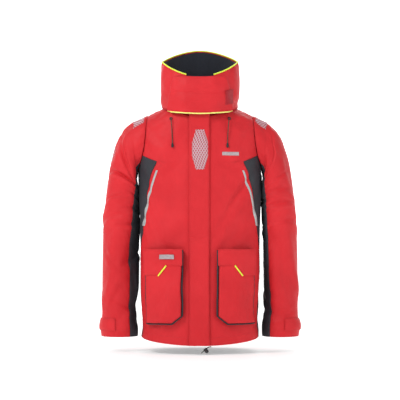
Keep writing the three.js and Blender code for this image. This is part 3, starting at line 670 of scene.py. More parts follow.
def stitch_rows(name, lines, rides, look):
    """Rows of stitches: short threads that dip into the cloth at both ends."""
    points, faces = [], []
    for path, normals in lines:
        s = np.concatenate([[0], np.cumsum(np.linalg.norm(np.diff(path, axis=0), axis=1))])
        if s[-1] < 2 * STITCH:
            continue
        starts = np.arange(0, s[-1] - STITCH, STITCH + STITCH_GAP)
        rise = np.array([-0.2, 0.75, 0.75, -0.2]) * THREAD * 1.6
        place = starts[:, None] + np.array([0, 0.22, 0.78, 1.0]) * STITCH
        p = np.stack([np.interp(place, s, path[:, k]) for k in range(3)], -1)
        n = np.stack([np.interp(place, s, normals[:, k]) for k in range(3)], -1)
        n /= np.maximum(np.linalg.norm(n, axis=-1, keepdims=True), 1e-9)
        p = p + n * rise[:, None]
        t = p[:, -1:] - p[:, :1]
        t = t / np.maximum(np.linalg.norm(t, axis=-1, keepdims=True), 1e-9)
        side = np.cross(n, t)
        ring = np.stack([n * THREAD, side * THREAD, -n * THREAD, -side * THREAD], 2)
        tube = p[:, :, None] + ring
        base = len(points) * 0 + sum(len(q) for q in points)
        points.append(tube.reshape(-1, 3))
        count = len(starts)
        for k in range(3):
            for j in range(4):
                a = np.arange(count) * 16 + k * 4 + j
                b = np.arange(count) * 16 + k * 4 + (j + 1) % 4
                faces.append(base + np.stack([a, b, b + 4, a + 4], -1))
        first = np.arange(count)[:, None] * 16
        faces.append(base + first + np.array([3, 2, 1, 0]))
        faces.append(base + first + np.array([12, 13, 14, 15]))
    obj = new_object(name, np.concatenate(points), np.concatenate(faces))
    finish_piece(obj, look, rides)
    return obj


def tube_mesh(name, path, radius, sides=10, wrap=False, normals=None):
    """A closed tube along a line of points; its section may be flattened along the given normals."""
    path = np.asarray(path, float)
    count = len(path)
    tangent = np.roll(path, -1, 0) - np.roll(path, 1, 0) if wrap else np.gradient(path, axis=0)
    tangent /= np.maximum(np.linalg.norm(tangent, axis=1, keepdims=True), 1e-12)
    if normals is None:
        guide = np.array([0.0, 0.0, 1.0]) if abs(tangent[0][2]) < 0.8 else np.array([1.0, 0.0, 0.0])
        normals = []
        for t in tangent:
            guide = guide - t * np.dot(guide, t)
            guide = guide / np.linalg.norm(guide)
            normals.append(guide)
        normals = np.array(normals)
    side = np.cross(tangent, normals)
    turn = np.linspace(0, 2 * math.pi, sides, endpoint=False)
    radius = np.broadcast_to(np.asarray(radius, float), count)
    ring = normals[:, None] * np.sin(turn)[None, :, None] + side[:, None] * np.cos(turn)[None, :, None]
    ring = ring * radius[:, None, None]
    points = path[:, None] + ring
    mesh = bpy.data.meshes.new(name)
    mesh.from_pydata(points.reshape(-1, 3).tolist(), [], tube_faces(count, sides, wrap))
    mesh.update()
    obj = link_smooth(name, mesh)
    face_out(obj)
    return obj


def face_out(obj):
    work = bmesh.new()
    work.from_mesh(obj.data)
    bmesh.ops.recalc_face_normals(work, faces=work.faces)
    work.to_mesh(obj.data)
    work.free()


# ---- materials ----
class Nodes:
    """A material's node tree, with short calls for what every look needs."""

    def __init__(self, name):
        self.material = bpy.data.materials.new(name)
        self.material.use_nodes = True
        self.tree = self.material.node_tree
        self.shader = self.tree.nodes["Principled BSDF"]
        self.place = self.tree.nodes.new("ShaderNodeTexCoord").outputs["Object"]

    def set(self, **values):
        for key, value in values.items():
            self.shader.inputs[key.replace("_", " ")].default_value = value
        return self

    def add(self, kind, inputs=(), **properties):
        node = self.tree.nodes.new(kind)
        for key, value in properties.items():
            setattr(node, key, value)
        for key, value in dict(inputs).items():
            if isinstance(value, bpy.types.NodeSocket):
                self.tree.links.new(value, node.inputs[key])
            else:
                node.inputs[key].default_value = value
        return node

    def noise(self, scale, detail=2.0, roughness=0.5, vector=None):
        inputs = {"Vector": vector or self.place, "Scale": scale, "Detail": detail, "Roughness": roughness}
        return self.add("ShaderNodeTexNoise", inputs).outputs["Fac"]

    def ramp(self, value, low_value, high_value, low_out=0.0, high_out=1.0):
        inputs = {0: value, 1: low_value, 2: high_value, 3: low_out, 4: high_out}
        return self.add("ShaderNodeMapRange", inputs).outputs[0]

    def blend(self, factor, first, second):
        node = self.add("ShaderNodeMix", data_type="RGBA")
        self.tree.links.new(factor, node.inputs[0])
        for socket, value in ((node.inputs[6], first), (node.inputs[7], second)):
            if isinstance(value, bpy.types.NodeSocket):
                self.tree.links.new(value, socket)
            else:
                socket.default_value = (*value, 1)
        return node.outputs[2]

    def math(self, operation, a, b=0.0):
        node = self.add("ShaderNodeMath", operation=operation)
        for socket, value in ((node.inputs[0], a), (node.inputs[1], b)):
            if isinstance(value, bpy.types.NodeSocket):
                self.tree.links.new(value, socket)
            else:
                socket.default_value = value
        return node.outputs[0]

    def weave(self, pitch):
        """Crossed threads, from the cloth's own coordinates."""
        cloth = self.add("ShaderNodeUVMap", uv_map="cloth").outputs[0]
        threads = []
        for direction in ("X", "Y"):
            inputs = {"Vector": cloth, "Scale": 0.314 / pitch}
            wave = self.add("ShaderNodeTexWave", inputs, bands_direction=direction, wave_profile="SIN")
            threads.append(wave.outputs["Fac"])
        return self.math("MULTIPLY", threads[0], threads[1])

    def bump(self, height, distance, strength=1.0, under=None):
        inputs = {"Height": height, "Distance": distance, "Strength": strength}
        if under is not None:
            inputs["Normal"] = under
        return self.add("ShaderNodeBump", inputs).outputs[0]

    def link(self, socket, name):
        self.tree.links.new(socket, self.shader.inputs[name])
        return self


def coated_cloth(name, dark, light, roughness):
    n = Nodes(name)
    patches = n.ramp(n.noise(9.0, 3.0), 0.35, 0.65)
    n.link(n.blend(patches, dark, light), "Base Color")
    n.link(n.ramp(n.noise(60.0, 3.0), 0.3, 0.7, roughness - 0.07, roughness + 0.07), "Roughness")
    crumple = n.bump(n.noise(85.0, 4.0, 0.6), 0.0011, 0.5)
    n.link(n.bump(n.weave(0.0009), 0.00012, 0.5, crumple), "Normal")
    n.set(Sheen_Weight=0.04, Sheen_Roughness=0.45, Specular_IOR_Level=0.28)
    return n.material


def fleece(name, dark, light):
    n = Nodes(name)
    pile = n.noise(700.0, 4.0, 0.7)
    n.link(n.blend(n.ramp(pile, 0.35, 0.65), dark, light), "Base Color")
    n.link(n.bump(pile, 0.0007, 0.7), "Normal")
    n.set(Roughness=0.92, Sheen_Weight=0.35, Sheen_Roughness=0.5, Specular_IOR_Level=0.2)
    return n.material


def plain_cloth(name, colour, roughness=0.7, pitch=0.0012):
    n = Nodes(name)
    tint = tuple(min(1.0, c * 1.25 + 0.01) for c in colour)
    n.link(n.blend(n.ramp(n.noise(140.0), 0.3, 0.7), colour, tint), "Base Color")
    n.link(n.bump(n.noise(1.2 / pitch, 2.0), 0.0002, 0.6), "Normal")
    n.set(Roughness=roughness, Specular_IOR_Level=0.35)
    return n.material


def reflective_film(name, line_colour, gap_colour, pitch):
    """Silver film printed as a net of crossed lines, with the cloth showing through between them."""
    n = Nodes(name)
    cloth = n.add("ShaderNodeUVMap", uv_map="cloth").outputs[0]
    turned = n.add("ShaderNodeMapping", {"Vector": cloth, "Rotation": (0, 0, math.radians(32))}).outputs[0]
    crossed = n.add("ShaderNodeMapping", {"Vector": cloth, "Rotation": (0, 0, math.radians(-32))}).outputs[0]
    lines = []
    for way in (turned, crossed):
        wave = n.add("ShaderNodeTexWave", {"Vector": way, "Scale": 0.314 / pitch}, wave_profile="SIN")
        lines.append(wave.outputs["Fac"])
    film = n.ramp(n.math("MAXIMUM", lines[0], lines[1]), 0.72, 0.86)
    n.link(n.blend(film, gap_colour, line_colour), "Base Color")
    n.link(n.ramp(film, 0.0, 1.0, 0.7, 0.36), "Roughness")
    n.link(n.ramp(film, 0.0, 1.0, 0.0, 0.3), "Metallic")
    n.link(n.bump(film, 0.0002, 0.6), "Normal")
    return n.material


def satin_film(name, colour):
    n = Nodes(name)
    tint = tuple(c * 0.86 for c in colour)
    n.link(n.blend(n.ramp(n.noise(160.0), 0.35, 0.65), colour, tint), "Base Color")
    n.link(n.bump(n.noise(900.0), 0.0001, 0.5), "Normal")
    n.set(Roughness=0.35, Metallic=0.3)
    return n.material


def moulded_plastic(name, colour, roughness=0.42):
    n = Nodes(name)
    tint = tuple(c * 1.4 + 0.004 for c in colour)
    n.link(n.blend(n.ramp(n.noise(120.0), 0.35, 0.65), colour, tint), "Base Color")
    n.link(n.ramp(n.noise(300.0), 0.3, 0.7, roughness - 0.06, roughness + 0.08), "Roughness")
    n.link(n.bump(n.noise(1500.0, 3.0), 0.00008, 0.6), "Normal")
    return n.material


def braid(name, dark, light):
    n = Nodes(name)
    stretched = n.add("ShaderNodeMapping", {"Vector": n.place, "Scale": (1.0, 1.0, 0.55)}).outputs[0]
    strands = n.add(
        "ShaderNodeTexVoronoi", {"Vector": stretched, "Scale": 1100.0, "Randomness": 0.35}
    ).outputs["Distance"]
    n.link(n.blend(n.ramp(strands, 0.1, 0.6), light, dark), "Base Color")
    n.link(n.bump(strands, 0.0004, 0.8), "Normal")
    n.set(Roughness=0.8)
    return n.material


RED = coated_cloth("shell_red", (0.60, 0.014, 0.021), (0.67, 0.019, 0.027), 0.6)
CHARCOAL = coated_cloth("shell_charcoal", (0.030, 0.032, 0.039), (0.042, 0.044, 0.052), 0.6)
NAVY = fleece("lining_navy", (0.012, 0.014, 0.021), (0.028, 0.031, 0.042))
NEON = plain_cloth("neon_trim", (0.70, 0.90, 0.06), 0.55)
PALE_NEON = plain_cloth("pale_neon_trim", (0.80, 0.86, 0.20), 0.55)
NET = reflective_film("reflective_net", (0.62, 0.50, 0.53), (0.42, 0.05, 0.08), 0.0075)
SILVER = satin_film("silver_piping", (0.46, 0.50, 0.50))
MARK = satin_film("grey_label", (0.48, 0.40, 0.42))
LOOP = fleece("loop_pile", (0.34, 0.008, 0.016), (0.46, 0.016, 0.028))
RED_THREAD = plain_cloth("red_thread", (0.50, 0.020, 0.028), 0.6, 0.0004)
DARK_THREAD = plain_cloth("dark_thread", (0.05, 0.05, 0.06), 0.6, 0.0004)
ZIP = moulded_plastic("zip_black", (0.016, 0.016, 0.019))
TAPE = plain_cloth("zip_tape", (0.022, 0.022, 0.027), 0.8, 0.0008)
BLACK = moulded_plastic("fitting_black", (0.010, 0.010, 0.012))
CORD = braid("cord_olive", (0.030, 0.032, 0.020), (0.10, 0.10, 0.07))


# ---- what every piece needs ----
ARMPIT = np.array([0.216, 0.0, ARMPIT_Z - 0.003])
BENDS = {
    "hood": ("torso", "hood", (0, 0.092, 0.006), (0, 0.05, 0.05)),
    "face_guard": ("hood", "face_guard", (-0.119, -0.09, 0), (-0.095, -0.112, 0)),
    "storm_flap": ("torso", "storm_flap", (0.036, 0, 0), (0.024, 0, 0)),
    "pocket_flap_left": ("torso", "pocket_flap_left", (0, 0, -0.475), (0, 0, -0.489)),
    "pocket_flap_right": ("torso", "pocket_flap_right", (0, 0, -0.475), (0, 0, -0.489)),
    "cuff_tab_left": ("sleeve_left", "cuff_tab_left", (0.329, 0.042, -0.736), (0.333, 0.026, -0.736)),
    "cuff_tab_right": ("sleeve_right", "cuff_tab_right", (-0.329, 0.042, -0.736), (-0.333, 0.026, -0.736)),
    "sleeve_left": ("torso", "sleeve_left", tuple(ARMPIT), tuple(ARMPIT + [0.073, 0, -0.073])),
    "sleeve_right": (
        "torso", "sleeve_right", tuple(ARMPIT * [-1, 1, 1]), tuple(ARMPIT * [-1, 1, 1] + [-0.073, 0, -0.073])
    ),
}


def finish_piece(obj, look, rides, replaces=(), bends=True):
    """Gives a piece its look and hides the CAD nodes that it stands for; a piece whose body is not listed in
    BENDS is also attached to the body that it moves with.
    """
    obj.data.materials.clear()
    obj.data.materials.append(look)
    if bends and rides in BENDS:
        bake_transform(obj)
    else:
        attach(obj, rides)
    if replaces:
        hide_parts(*replaces)
    return obj


def cloth_piece(panel, name, look, rides, replaces=(), thickness=0.0013):
    obj = panel.build(name, thickness)
    finish_piece(obj, look, rides, replaces)
    width, length, area = panel.flat_size()
    return obj


SIDES = ((1, "left"), (-1, "right"))
ALL_EDGES = ["left", "right", "top", "bottom"]
SEAM = 0.0004
mix = lambda a, b, t: a + (b - a) * t
stitches = {}


def sew(panel, edges, distances, rides, look="red"):
    """Notes a row of stitches at each distance in from each edge."""
    for edge in edges:
        for distance in distances:
            stitches.setdefault((rides, look), []).append(panel.line(edge, distance))


# ---- shell and lining ----
def panel_edge(v, widest):
    narrow = math.radians(15)
    corner = 4.1
    at_corner = armhole_spread(np.full(np.shape(v), 4.0))
    upper = np.where(v <= ARMHOLE_TOP, 0.0, armhole_spread(np.clip(v, ARMHOLE_TOP, 4)))
    lower = np.where(
        v < corner, mix(at_corner, widest, (v - 4) / (corner - 4)),
        mix(widest, narrow, np.clip((v - corner) / 2.6, 0, 1) ** 1.5),
    )
    return np.where(v <= 4, upper, lower)


front_edge = lambda v: -panel_edge(v, math.radians(51))
back_edge = lambda v: panel_edge(v, math.radians(42))
ring_seam = lambda v, gap: gap / ring_at(body_rows, v)[..., 0]
LINING_SET = CLOTH + 7 * MM


def front_place(near_x, inset):
    def place(a, b):
        v = b * HEM_ROW
        return v, mix(phi_at_x(v, near_x), front_edge(v) - ring_seam(v, inset), a)

    return place


def back_place(inset):
    def place(a, b):
        v = b * HEM_ROW
        edge = back_edge(v) + ring_seam(v, inset)
        return v, mix(edge, math.pi - edge, a)

    return place


def side_place(a, b):
    v = mix(4.0, HEM_ROW, b)
    spread = armhole_spread(np.full(a.shape, 4.0))
    top_angle = mix(-spread, spread, a)
    across = np.sqrt(np.maximum(0, 1 - (top_angle / ARMHOLE_ANGLE) ** 2))
    top_row = mix(ARMHOLE_TOP, ARMHOLE_BOTTOM, (1 + across) / 2)
    seam = ring_seam(v, SEAM)
    return mix(top_row, HEM_ROW, b), mix(front_edge(v) + seam, back_edge(v) - seam, a)


back = Panel(body, back_place(SEAM), dense(96), dense(150)).roll(["left", "right", "top"])
back.pucker(["left", "right"], seed=2).pucker(["bottom"], 0.0004, seed=4)
cloth_piece(back, "back_panel_cloth", RED, "torso", ["back_panel"])
sew(back, ["left", "right"], [0.0055], "torso")
sew(back, ["bottom"], [0.004, 0.026], "torso")
back_in = Panel(body, back_place(4 * MM), dense(40), dense(70), -LINING_SET)
cloth_piece(back_in, "back_lining_cloth", NAVY, "torso", ["back_lining"], 0.0009)
for side, word in SIDES:
    front = Panel(body, front_place(0.014, SEAM), dense(64), dense(150), side=side).roll(["right", "top"])
    front.pucker(["right"], seed=6 + side).pucker(["bottom"], 0.0004, seed=9)
    cloth_piece(front, f"front_panel_{word}_cloth", RED, "torso", [f"front_panel_{word}"])
    sew(front, ["right"], [0.0055], "torso")
    sew(front, ["bottom"], [0.004, 0.026], "torso")
    inside = Panel(body, front_place(0.040, 4 * MM), dense(30), dense(70), -LINING_SET, side)
    cloth_piece(
        inside, f"front_lining_{word}_cloth", NAVY, "torso", [f"front_lining_{word}"], 0.0009,
    )
    under_arm = Panel(body, side_place, dense(30), dense(120), side=side).roll(["left", "right", "top"])
    under_arm.pucker(["left", "right"], 0.0005, seed=12 + side)
    cloth_piece(
        under_arm, f"side_panel_{word}_cloth", CHARCOAL, "torso", [f"side_panel_{word}"],
    )
    sew(under_arm, ["left", "right"], [0.0045], "torso", "dark")

# ---- sleeves ----
STRIP_FRONT, STRIP_BACK = math.radians(232), math.radians(150)
FOREARM = 0.168
ring_at_z = lambda z: 7 + (SLEEVE_END_Z + FOREARM - z) / FOREARM


def patch_place(v_span, angle_span):
    return lambda a, b: (mix(*v_span, b), mix(*map(math.radians, angle_span), a))


for side, word in SIDES:
    surface = sleeve_left if side > 0 else sleeve_right
    rides = f"sleeve_{word}"
    gap = SEAM / 0.058
    main = Panel(
        surface, lambda a, b: (b * SLEEVE_LAST, mix(STRIP_FRONT + gap, STRIP_BACK + 2 * math.pi - gap, a)),
        dense(120), dense(170), side=side,
    ).roll(["left", "right", "top"])
    main.pucker(["left", "right"], 0.0008, seed=20 + side)
    main.pucker(["top"], 0.0009, 0.026, 0.03, seed=25 + side)
    cloth_piece(main, f"sleeve_{word}_cloth", RED, rides, [f"sleeve_{word}"])
    sew(main, ["left", "right", "top"], [0.005], rides)
    sew(main, ["bottom"], [0.004, 0.022], rides)
    strip = Panel(
        surface, lambda a, b: (b * SLEEVE_LAST, mix(STRIP_BACK + gap, STRIP_FRONT - gap, a)),
        dense(40), dense(150), side=side,
    ).roll(["left", "right", "top"])
    strip.pucker(["left", "right"], 0.0005, seed=30 + side)
    cloth_piece(
        strip, f"sleeve_strip_{word}_cloth", CHARCOAL, rides, [f"sleeve_strip_{word}"],
    )
    sew(strip, ["left", "right"], [0.0045], rides, "dark")

    turn = np.linspace(0, 2 * math.pi, 72, endpoint=False)
    cuff_angle, cuff_v = np.meshgrid(
        turn, np.linspace(ring_at_z(SLEEVE_END_Z + 0.088), ring_at_z(SLEEVE_END_Z + 0.006), 24)
    )
    gathers = 0.0009 * np.sin(cuff_angle * 26 + np.sin(cuff_v * 9)) * np.clip((cuff_v - 7.5) * 3, 0, 1)
    outer = surface.at(cuff_v, cuff_angle, -0.0085 + gathers) * [side, 1, 1]
    inner = surface.at(cuff_v, cuff_angle, -0.0100 + gathers) * [side, 1, 1]
    cuff = slab(f"inner_cuff_{word}_cloth", outer, inner, wrap=True)
    finish_piece(cuff, CHARCOAL, rides, [f"inner_cuff_{word}"])

    tab_span = (ring_at_z(SLEEVE_END_Z + 0.064), ring_at_z(SLEEVE_END_Z + 0.020))
    tab = Panel(
        surface, patch_place(tab_span, (-82, 40)), dense(48), dense(20), 0.0036, side,
        lambda a, b: 0.0008 * np.sin(math.pi * b) - 0.001 * np.exp(-((np.minimum(b, 1 - b) * 20) ** 2)),
    )
    cloth_piece(
        tab, f"cuff_tab_{word}_cloth", RED, f"cuff_tab_{word}", [f"cuff_tab_{word}"], 0.0018,
    )
    sew(tab, ["left", "top", "bottom"], [0.003], f"cuff_tab_{word}")

    shoulder = Panel(
        surface, lambda a, b: (mix(0.15, 1.05, a), mix(math.radians(-44), math.radians(-6), b)),
        dense(24), dense(20), 0.0009, side,
    ).roll(ALL_EDGES, 0.0006)
    cloth_piece(
        shoulder, f"shoulder_reflector_{word}_film", NET, rides,
        [f"shoulder_reflector_{word}"], 0.0007,
    )
    sew(shoulder, ALL_EDGES, [0.0025], rides)
    if side < 0:
        mark = Panel(surface, patch_place((2.9, 3.6), (-30, -22)), dense(8), dense(30), 0.0009, side)
        cloth_piece(
            mark, "sleeve_reflector_film", NET, rides, ["sleeve_reflector_right"], 0.0007,
        )

# ---- hood, collar and face guard ----
HOOD_OPENING = math.radians(20)


def around(opening, v_from, v_to):
    return lambda a, b: (mix(v_from, v_to, b), mix(FRONT + opening, FRONT + 2 * math.pi - opening, a))


cap = Panel(hood, around(HOOD_OPENING, 0, HOOD_LAST), dense(150), dense(56)).roll(["top", "bottom"])
cap.pucker(["top", "bottom"], 0.0009, 0.024, 0.02, seed=41)
cloth_piece(cap, "hood_cloth_piece", RED, "hood", ["hood"])
sew(cap, ["top", "bottom"], [0.005], "hood")
cap_in = Panel(hood, around(HOOD_OPENING + 0.02, 0.1, HOOD_LAST - 0.05), dense(110), dense(40), -0.0055)
cloth_piece(cap_in, "hood_lining_cloth", NAVY, "hood", ["hood_lining"], 0.0009)
turn = np.linspace(FRONT + HOOD_OPENING, FRONT + 2 * math.pi - HOOD_OPENING, 160)
rim = hood.at(np.full(turn.shape, float(HOOD_LAST)), turn, -0.0006)
binding = tube_mesh("hood_binding_tape", rim + [0, 0, 0.0012], 0.0024, 12)
finish_piece(binding, NEON, "hood", ["hood_binding"])
stitches.setdefault(("hood", "neon"), []).append(
    (rim + [0, 0, 0.0006] + hood.normal(np.full(turn.shape, HOOD_LAST - 0.01), turn) * 0.0031,
     hood.normal(np.full(turn.shape, HOOD_LAST - 0.01), turn))
)

GUARD_RAISE = 0.0055


def guard_place(a, b):
    across = 2 * a - 1
    phi = FRONT + across * mix(math.radians(52), math.radians(37), b)
    return mix(0.10 - 0.16 * across**2, HOOD_LAST - 0.5 * across**2, b), phi


def guard_shape(a, b):
    crease = -0.0022 * np.exp(-(((b - 0.46) / 0.035) ** 2)) * (0.4 + 0.6 * np.sin(math.pi * a))
    lower = 0.0016 * np.sin(math.pi * np.clip(b / 0.4, 0, 1))
    roll = lower + 0.0012 * np.sin(math.pi * np.clip((b - 0.5) / 0.5, 0, 1))
    return crease + roll + 0.0005 * np.sin(9 * a + 4 * b) * np.sin(math.pi * b)


guard = Panel(hood, guard_place, dense(90), dense(60), GUARD_RAISE, extra=guard_shape)
guard.roll(["bottom", "left", "right"])
cloth_piece(guard, "face_guard_cloth", RED, "face_guard", ["face_guard"], 0.0022)
sew(guard, ["top", "left", "right"], [0.004], "face_guard")
sew(guard, ["bottom"], [0.0035], "face_guard")
edge_points, edge_normals = guard.line("top", 0.0)
piping = tube_mesh("guard_piping_tape", edge_points + edge_normals * 0.0004 + [0, 0, -0.0016], 0.0022, 10)
finish_piece(piping, PALE_NEON, "face_guard", ["guard_piping"])
loop = Panel(hood, patch_place((0.42, 1.35), (-55, -40)), dense(30), dense(40), GUARD_RAISE + 0.0034).roll(
    ALL_EDGES, 0.0006
)
cloth_piece(
    loop, "hook_and_loop_patch_pile", LOOP, "face_guard", ["hook_and_loop_patch"], 0.0011,
)
sew(loop, ALL_EDGES, [0.002], "face_guard")

COLLAR_OPEN = math.asin(0.014 / NECK_HALF)
neck = Panel(collar, around(COLLAR_OPEN, 0, 2), dense(120), dense(20)).roll(["top", "bottom"])
cloth_piece(neck, "collar_cloth", RED, "torso", ["collar"])
sew(neck, ["bottom"], [0.005], "torso")
neck_in = Panel(collar, around(COLLAR_OPEN + 0.04, 0, 2), dense(80), dense(14), -0.0055)
cloth_piece(neck_in, "collar_lining_cloth", NAVY, "torso", ["collar_lining"], 0.0009)
t = np.linspace(0, 1, 40)
sag = np.sin(math.pi * t)
loop_path = np.stack([mix(-0.032, 0.032, t), 0.050 - 0.004 * sag, 0.044 - 0.016 * sag], -1)
hanger = tube_mesh("hanger_loop_cord", loop_path, 0.0019, 12)
finish_piece(hanger, CORD, "torso", ["hanger_loop"])

# ---- the front closure, in its own leaning frame ----
ZIP_TOP, ZIP_BOTTOM = CLOSURE_TOP_Z, HEM_Z + 0.012
closure_foot = np.array([0, -closure_depth(ZIP_BOTTOM), ZIP_BOTTOM])
closure_up = np.array([0, 0.03843, 0.99926])
closure_out = np.array([0, -0.99926, 0.03843])
CLOSURE_LENGTH = (ZIP_TOP - ZIP_BOTTOM) / closure_up[2]
up_at = lambda z: (z - ZIP_BOTTOM) / closure_up[2]


def on_closure(x, out, up):
    """A point of the closure: x to the left, out from the jacket, up along the zip."""
    x, out, up = np.broadcast_arrays(np.asarray(x, float), np.asarray(out, float), np.asarray(up, float))
    across = closure_foot + x[..., None] * [1, 0, 0]
    return across + out[..., None] * closure_out + up[..., None] * closure_up


def brick(name, size, centre, bevel=0.0006):
    """A box with rounded edges in the closure's frame."""
    mesh = bpy.data.meshes.new(name)
    work = bmesh.new()
    bmesh.ops.create_cube(work, size=1)
    for vertex in work.verts:
        vertex.co = Vector([vertex.co[k] * size[k] for k in range(3)])
    bmesh.ops.bevel(work, geom=list(work.edges), offset=bevel, segments=3, affect="EDGES", profile=0.5)
    for vertex in work.verts:
        x, y, z = vertex.co
        vertex.co = Vector(on_closure(x + centre[0], -(y + centre[1]), z + centre[2]))
    bmesh.ops.recalc_face_normals(work, faces=work.faces)
    work.to_mesh(mesh)
    work.free()
    return link_smooth(name, mesh)


def join(name, objects):
    work = bmesh.new()
    for obj in objects:
        work.from_mesh(obj.data)
        bpy.data.objects.remove(obj)
    mesh = bpy.data.meshes.new(name)
    work.to_mesh(mesh)
    work.free()
    return link_smooth(name, mesh)


TAPE_WIDTH, TAPE_FRONT, COIL_THICK, COIL_GAP = 0.021, 0.0034, 0.0025, 0.0008
for side, word in SIDES:
    tape_a, tape_b = np.meshgrid(np.linspace(0, 1, 20), np.linspace(0, 1, 140))
    x = COIL_GAP + 0.0014 + TAPE_WIDTH * tape_a
    ripple = 0.0004 * np.sin(tape_b * 120 + side) * tape_a**2
    front_face = on_closure(side * x, -TAPE_FRONT + ripple, tape_b * CLOSURE_LENGTH)
    back_face = on_closure(side * x, -TAPE_FRONT - 0.0008 + ripple, tape_b * CLOSURE_LENGTH)
    tape = slab(f"zip_tape_{word}_woven", front_face, back_face)
    finish_piece(tape, TAPE, "torso", [f"zip_tape_{word}"])
    pitch = 0.0031
    steps_up = np.arange(0.003, CLOSURE_LENGTH - 0.003, pitch / 10)
    phase = steps_up / pitch * 2 * math.pi + (math.pi if side < 0 else 0)
    coil_x = side * (COIL_GAP + 0.0021 - 0.0016 * np.cos(phase))
    coil_out = -(TAPE_FRONT - 0.0003 - COIL_THICK / 2) + 0.0008 * np.sin(phase)
    coil = tube_mesh(f"zip_coil_{word}_spiral", on_closure(coil_x, coil_out, steps_up), 0.00042, 6)
    finish_piece(coil, ZIP, "torso", [f"zip_coil_{word}"])

SLIDER_TOP = CLOSURE_LENGTH - 0.006
coil_face = TAPE_FRONT - 0.0003 - COIL_THICK
middle = SLIDER_TOP - 0.009
plate_y = coil_face - 0.0003 - 0.001
back_y = TAPE_FRONT + 0.0008 + 0.0004 + 0.001
slider = join("zip_slider_body", [
    brick("plate", (0.014, 0.002, 0.018), (0, plate_y, middle)),
    brick("rail", (0.014, 0.002, 0.018), (0, back_y, middle)),
    brick(
        "post", (0.0011, back_y - plate_y, 0.005), (0, (back_y + plate_y) / 2, SLIDER_TOP - 0.003), 0.0002
    ),
    brick("crown_low", (0.003, 0.0024, 0.0022), (0, plate_y - 0.0021, middle - 0.001)),
    brick("crown_high", (0.003, 0.0024, 0.0022), (0, plate_y - 0.0021, middle + 0.005)),
    brick("crown_bar", (0.003, 0.0009, 0.008), (0, plate_y - 0.0031, middle + 0.002), 0.0003),
])
finish_piece(slider, BLACK, "zip_slider", ["zip_slider"])
pull_y = coil_face - 0.0003 - 0.002 - 0.0022 - 0.0004 - 0.0006
pull = join("zip_pull_tag", [
    brick("tag", (0.008, 0.0014, 0.022), (0, pull_y, SLIDER_TOP - 0.002 - 0.023)),
    brick("neck", (0.0042, 0.0014, 0.012), (0, pull_y, SLIDER_TOP - 0.002 - 0.006)),
    *[
        brick(f"rib{k}", (0.0062, 0.0019, 0.0011), (0, pull_y, SLIDER_TOP - 0.019 - 0.0032 * k), 0.0003)
        for k in range(5)
    ],
])
finish_piece(pull, BLACK, "zip_pull", ["zip_pull"])

a, b = np.meshgrid(np.linspace(0, 1, 24), np.linspace(0, 1, 140))
wave = 0.0008 * np.sin(b * 34 + 2 * a)
front_face = on_closure(mix(-0.020, 0.034, a), -(TAPE_FRONT + 0.0055) + wave, mix(-0.011, CLOSURE_LENGTH, b))
back_face = on_closure(mix(-0.020, 0.034, a), -(TAPE_FRONT + 0.0075) + wave, mix(-0.011, CLOSURE_LENGTH, b))
under_flap = slab("inner_storm_flap_cloth", front_face, back_face)
finish_piece(under_flap, CHARCOAL, "torso", ["inner_storm_flap"])

# The storm flap's section turns in at its free edge and at its sewn edge.
FLAP_FREE, FLAP_SEWN, FLAP_STAND = -0.036, 0.030, 0.008
flap_face = FLAP_STAND + CLOTH
flap_top = float(up_at(-0.020))
FLAP_FOOT = -0.011


def smooth_path(points, count):
    """Even points along a smooth curve through some points."""
    points = np.asarray(points, float)
    fine = ring_at(points, np.linspace(0, len(points) - 1, 400))
    s = np.concatenate([[0], np.cumsum(np.linalg.norm(np.diff(fine, axis=0), axis=1))])
    even = np.linspace(0, s[-1], count)
    return np.stack([np.interp(even, s, fine[:, k]) for k in range(points.shape[1])], -1)


section = smooth_path([
    (FLAP_SEWN + 0.0025, 0.0008), (FLAP_SEWN + 0.0022, 0.0060), (FLAP_SEWN - 0.0012, flap_face - 0.0006),
    (FLAP_SEWN - 0.010, flap_face), (0.010, flap_face), (-0.010, flap_face), (FLAP_FREE + 0.010, flap_face),
    (FLAP_FREE + 0.002, flap_face - 0.0006), (FLAP_FREE + 0.0002, flap_face - 0.0035),
    (FLAP_FREE + 0.001, flap_face - 0.006),
], 72)
tangent = np.gradient(section, axis=0)
inward = np.stack([-tangent[:, 1], tangent[:, 0]], -1)
inward /= np.linalg.norm(inward, axis=1, keepdims=True)
inward *= np.sign(np.sum(inward * [0, -1], 1).sum())
up_line = FLAP_FOOT + dense(190) * (flap_top - FLAP_FOOT)
rng = np.random.default_rng(17)
phases = rng.uniform(0, 6.28, 6)
flat_part = soft_step(section[:, 1], flap_face * 0.6, flap_face)
from_free = section[:, 0] - FLAP_FREE


def flap_ripple(up):
    z = ZIP_BOTTOM + up * closure_up[2]
    soft = 0.0007 * np.sin(up * 41 + phases[0]) + 0.0005 * np.sin(up * 67 + phases[1] + 30 * section[:, 0])
    crease = -0.0019 * np.exp(-(((z + 0.439 + 0.1 * section[:, 0]) / 0.004) ** 2))
    crease = crease + 0.0012 * np.exp(-(((z + 0.452) / 0.010) ** 2))
    loose = 0.0014 * np.sin(up * 23 + phases[2]) * np.exp(-from_free / 0.02)
    return (soft + crease + loose) * flat_part


outer_rows, inner_rows = [], []
for up in up_line:
    out = section[:, 1] + flap_ripple(up)
    outer_rows.append(on_closure(section[:, 0], out, up))
    inner_rows.append(on_closure(section[:, 0] + inward[:, 0] * 0.0018, out + inward[:, 1] * 0.0018, up))
outer, inner = np.array(outer_rows), np.array(inner_rows)
flap = slab("storm_flap_cloth", outer, inner)
finish_piece(flap, RED, "storm_flap", ["storm_flap"])


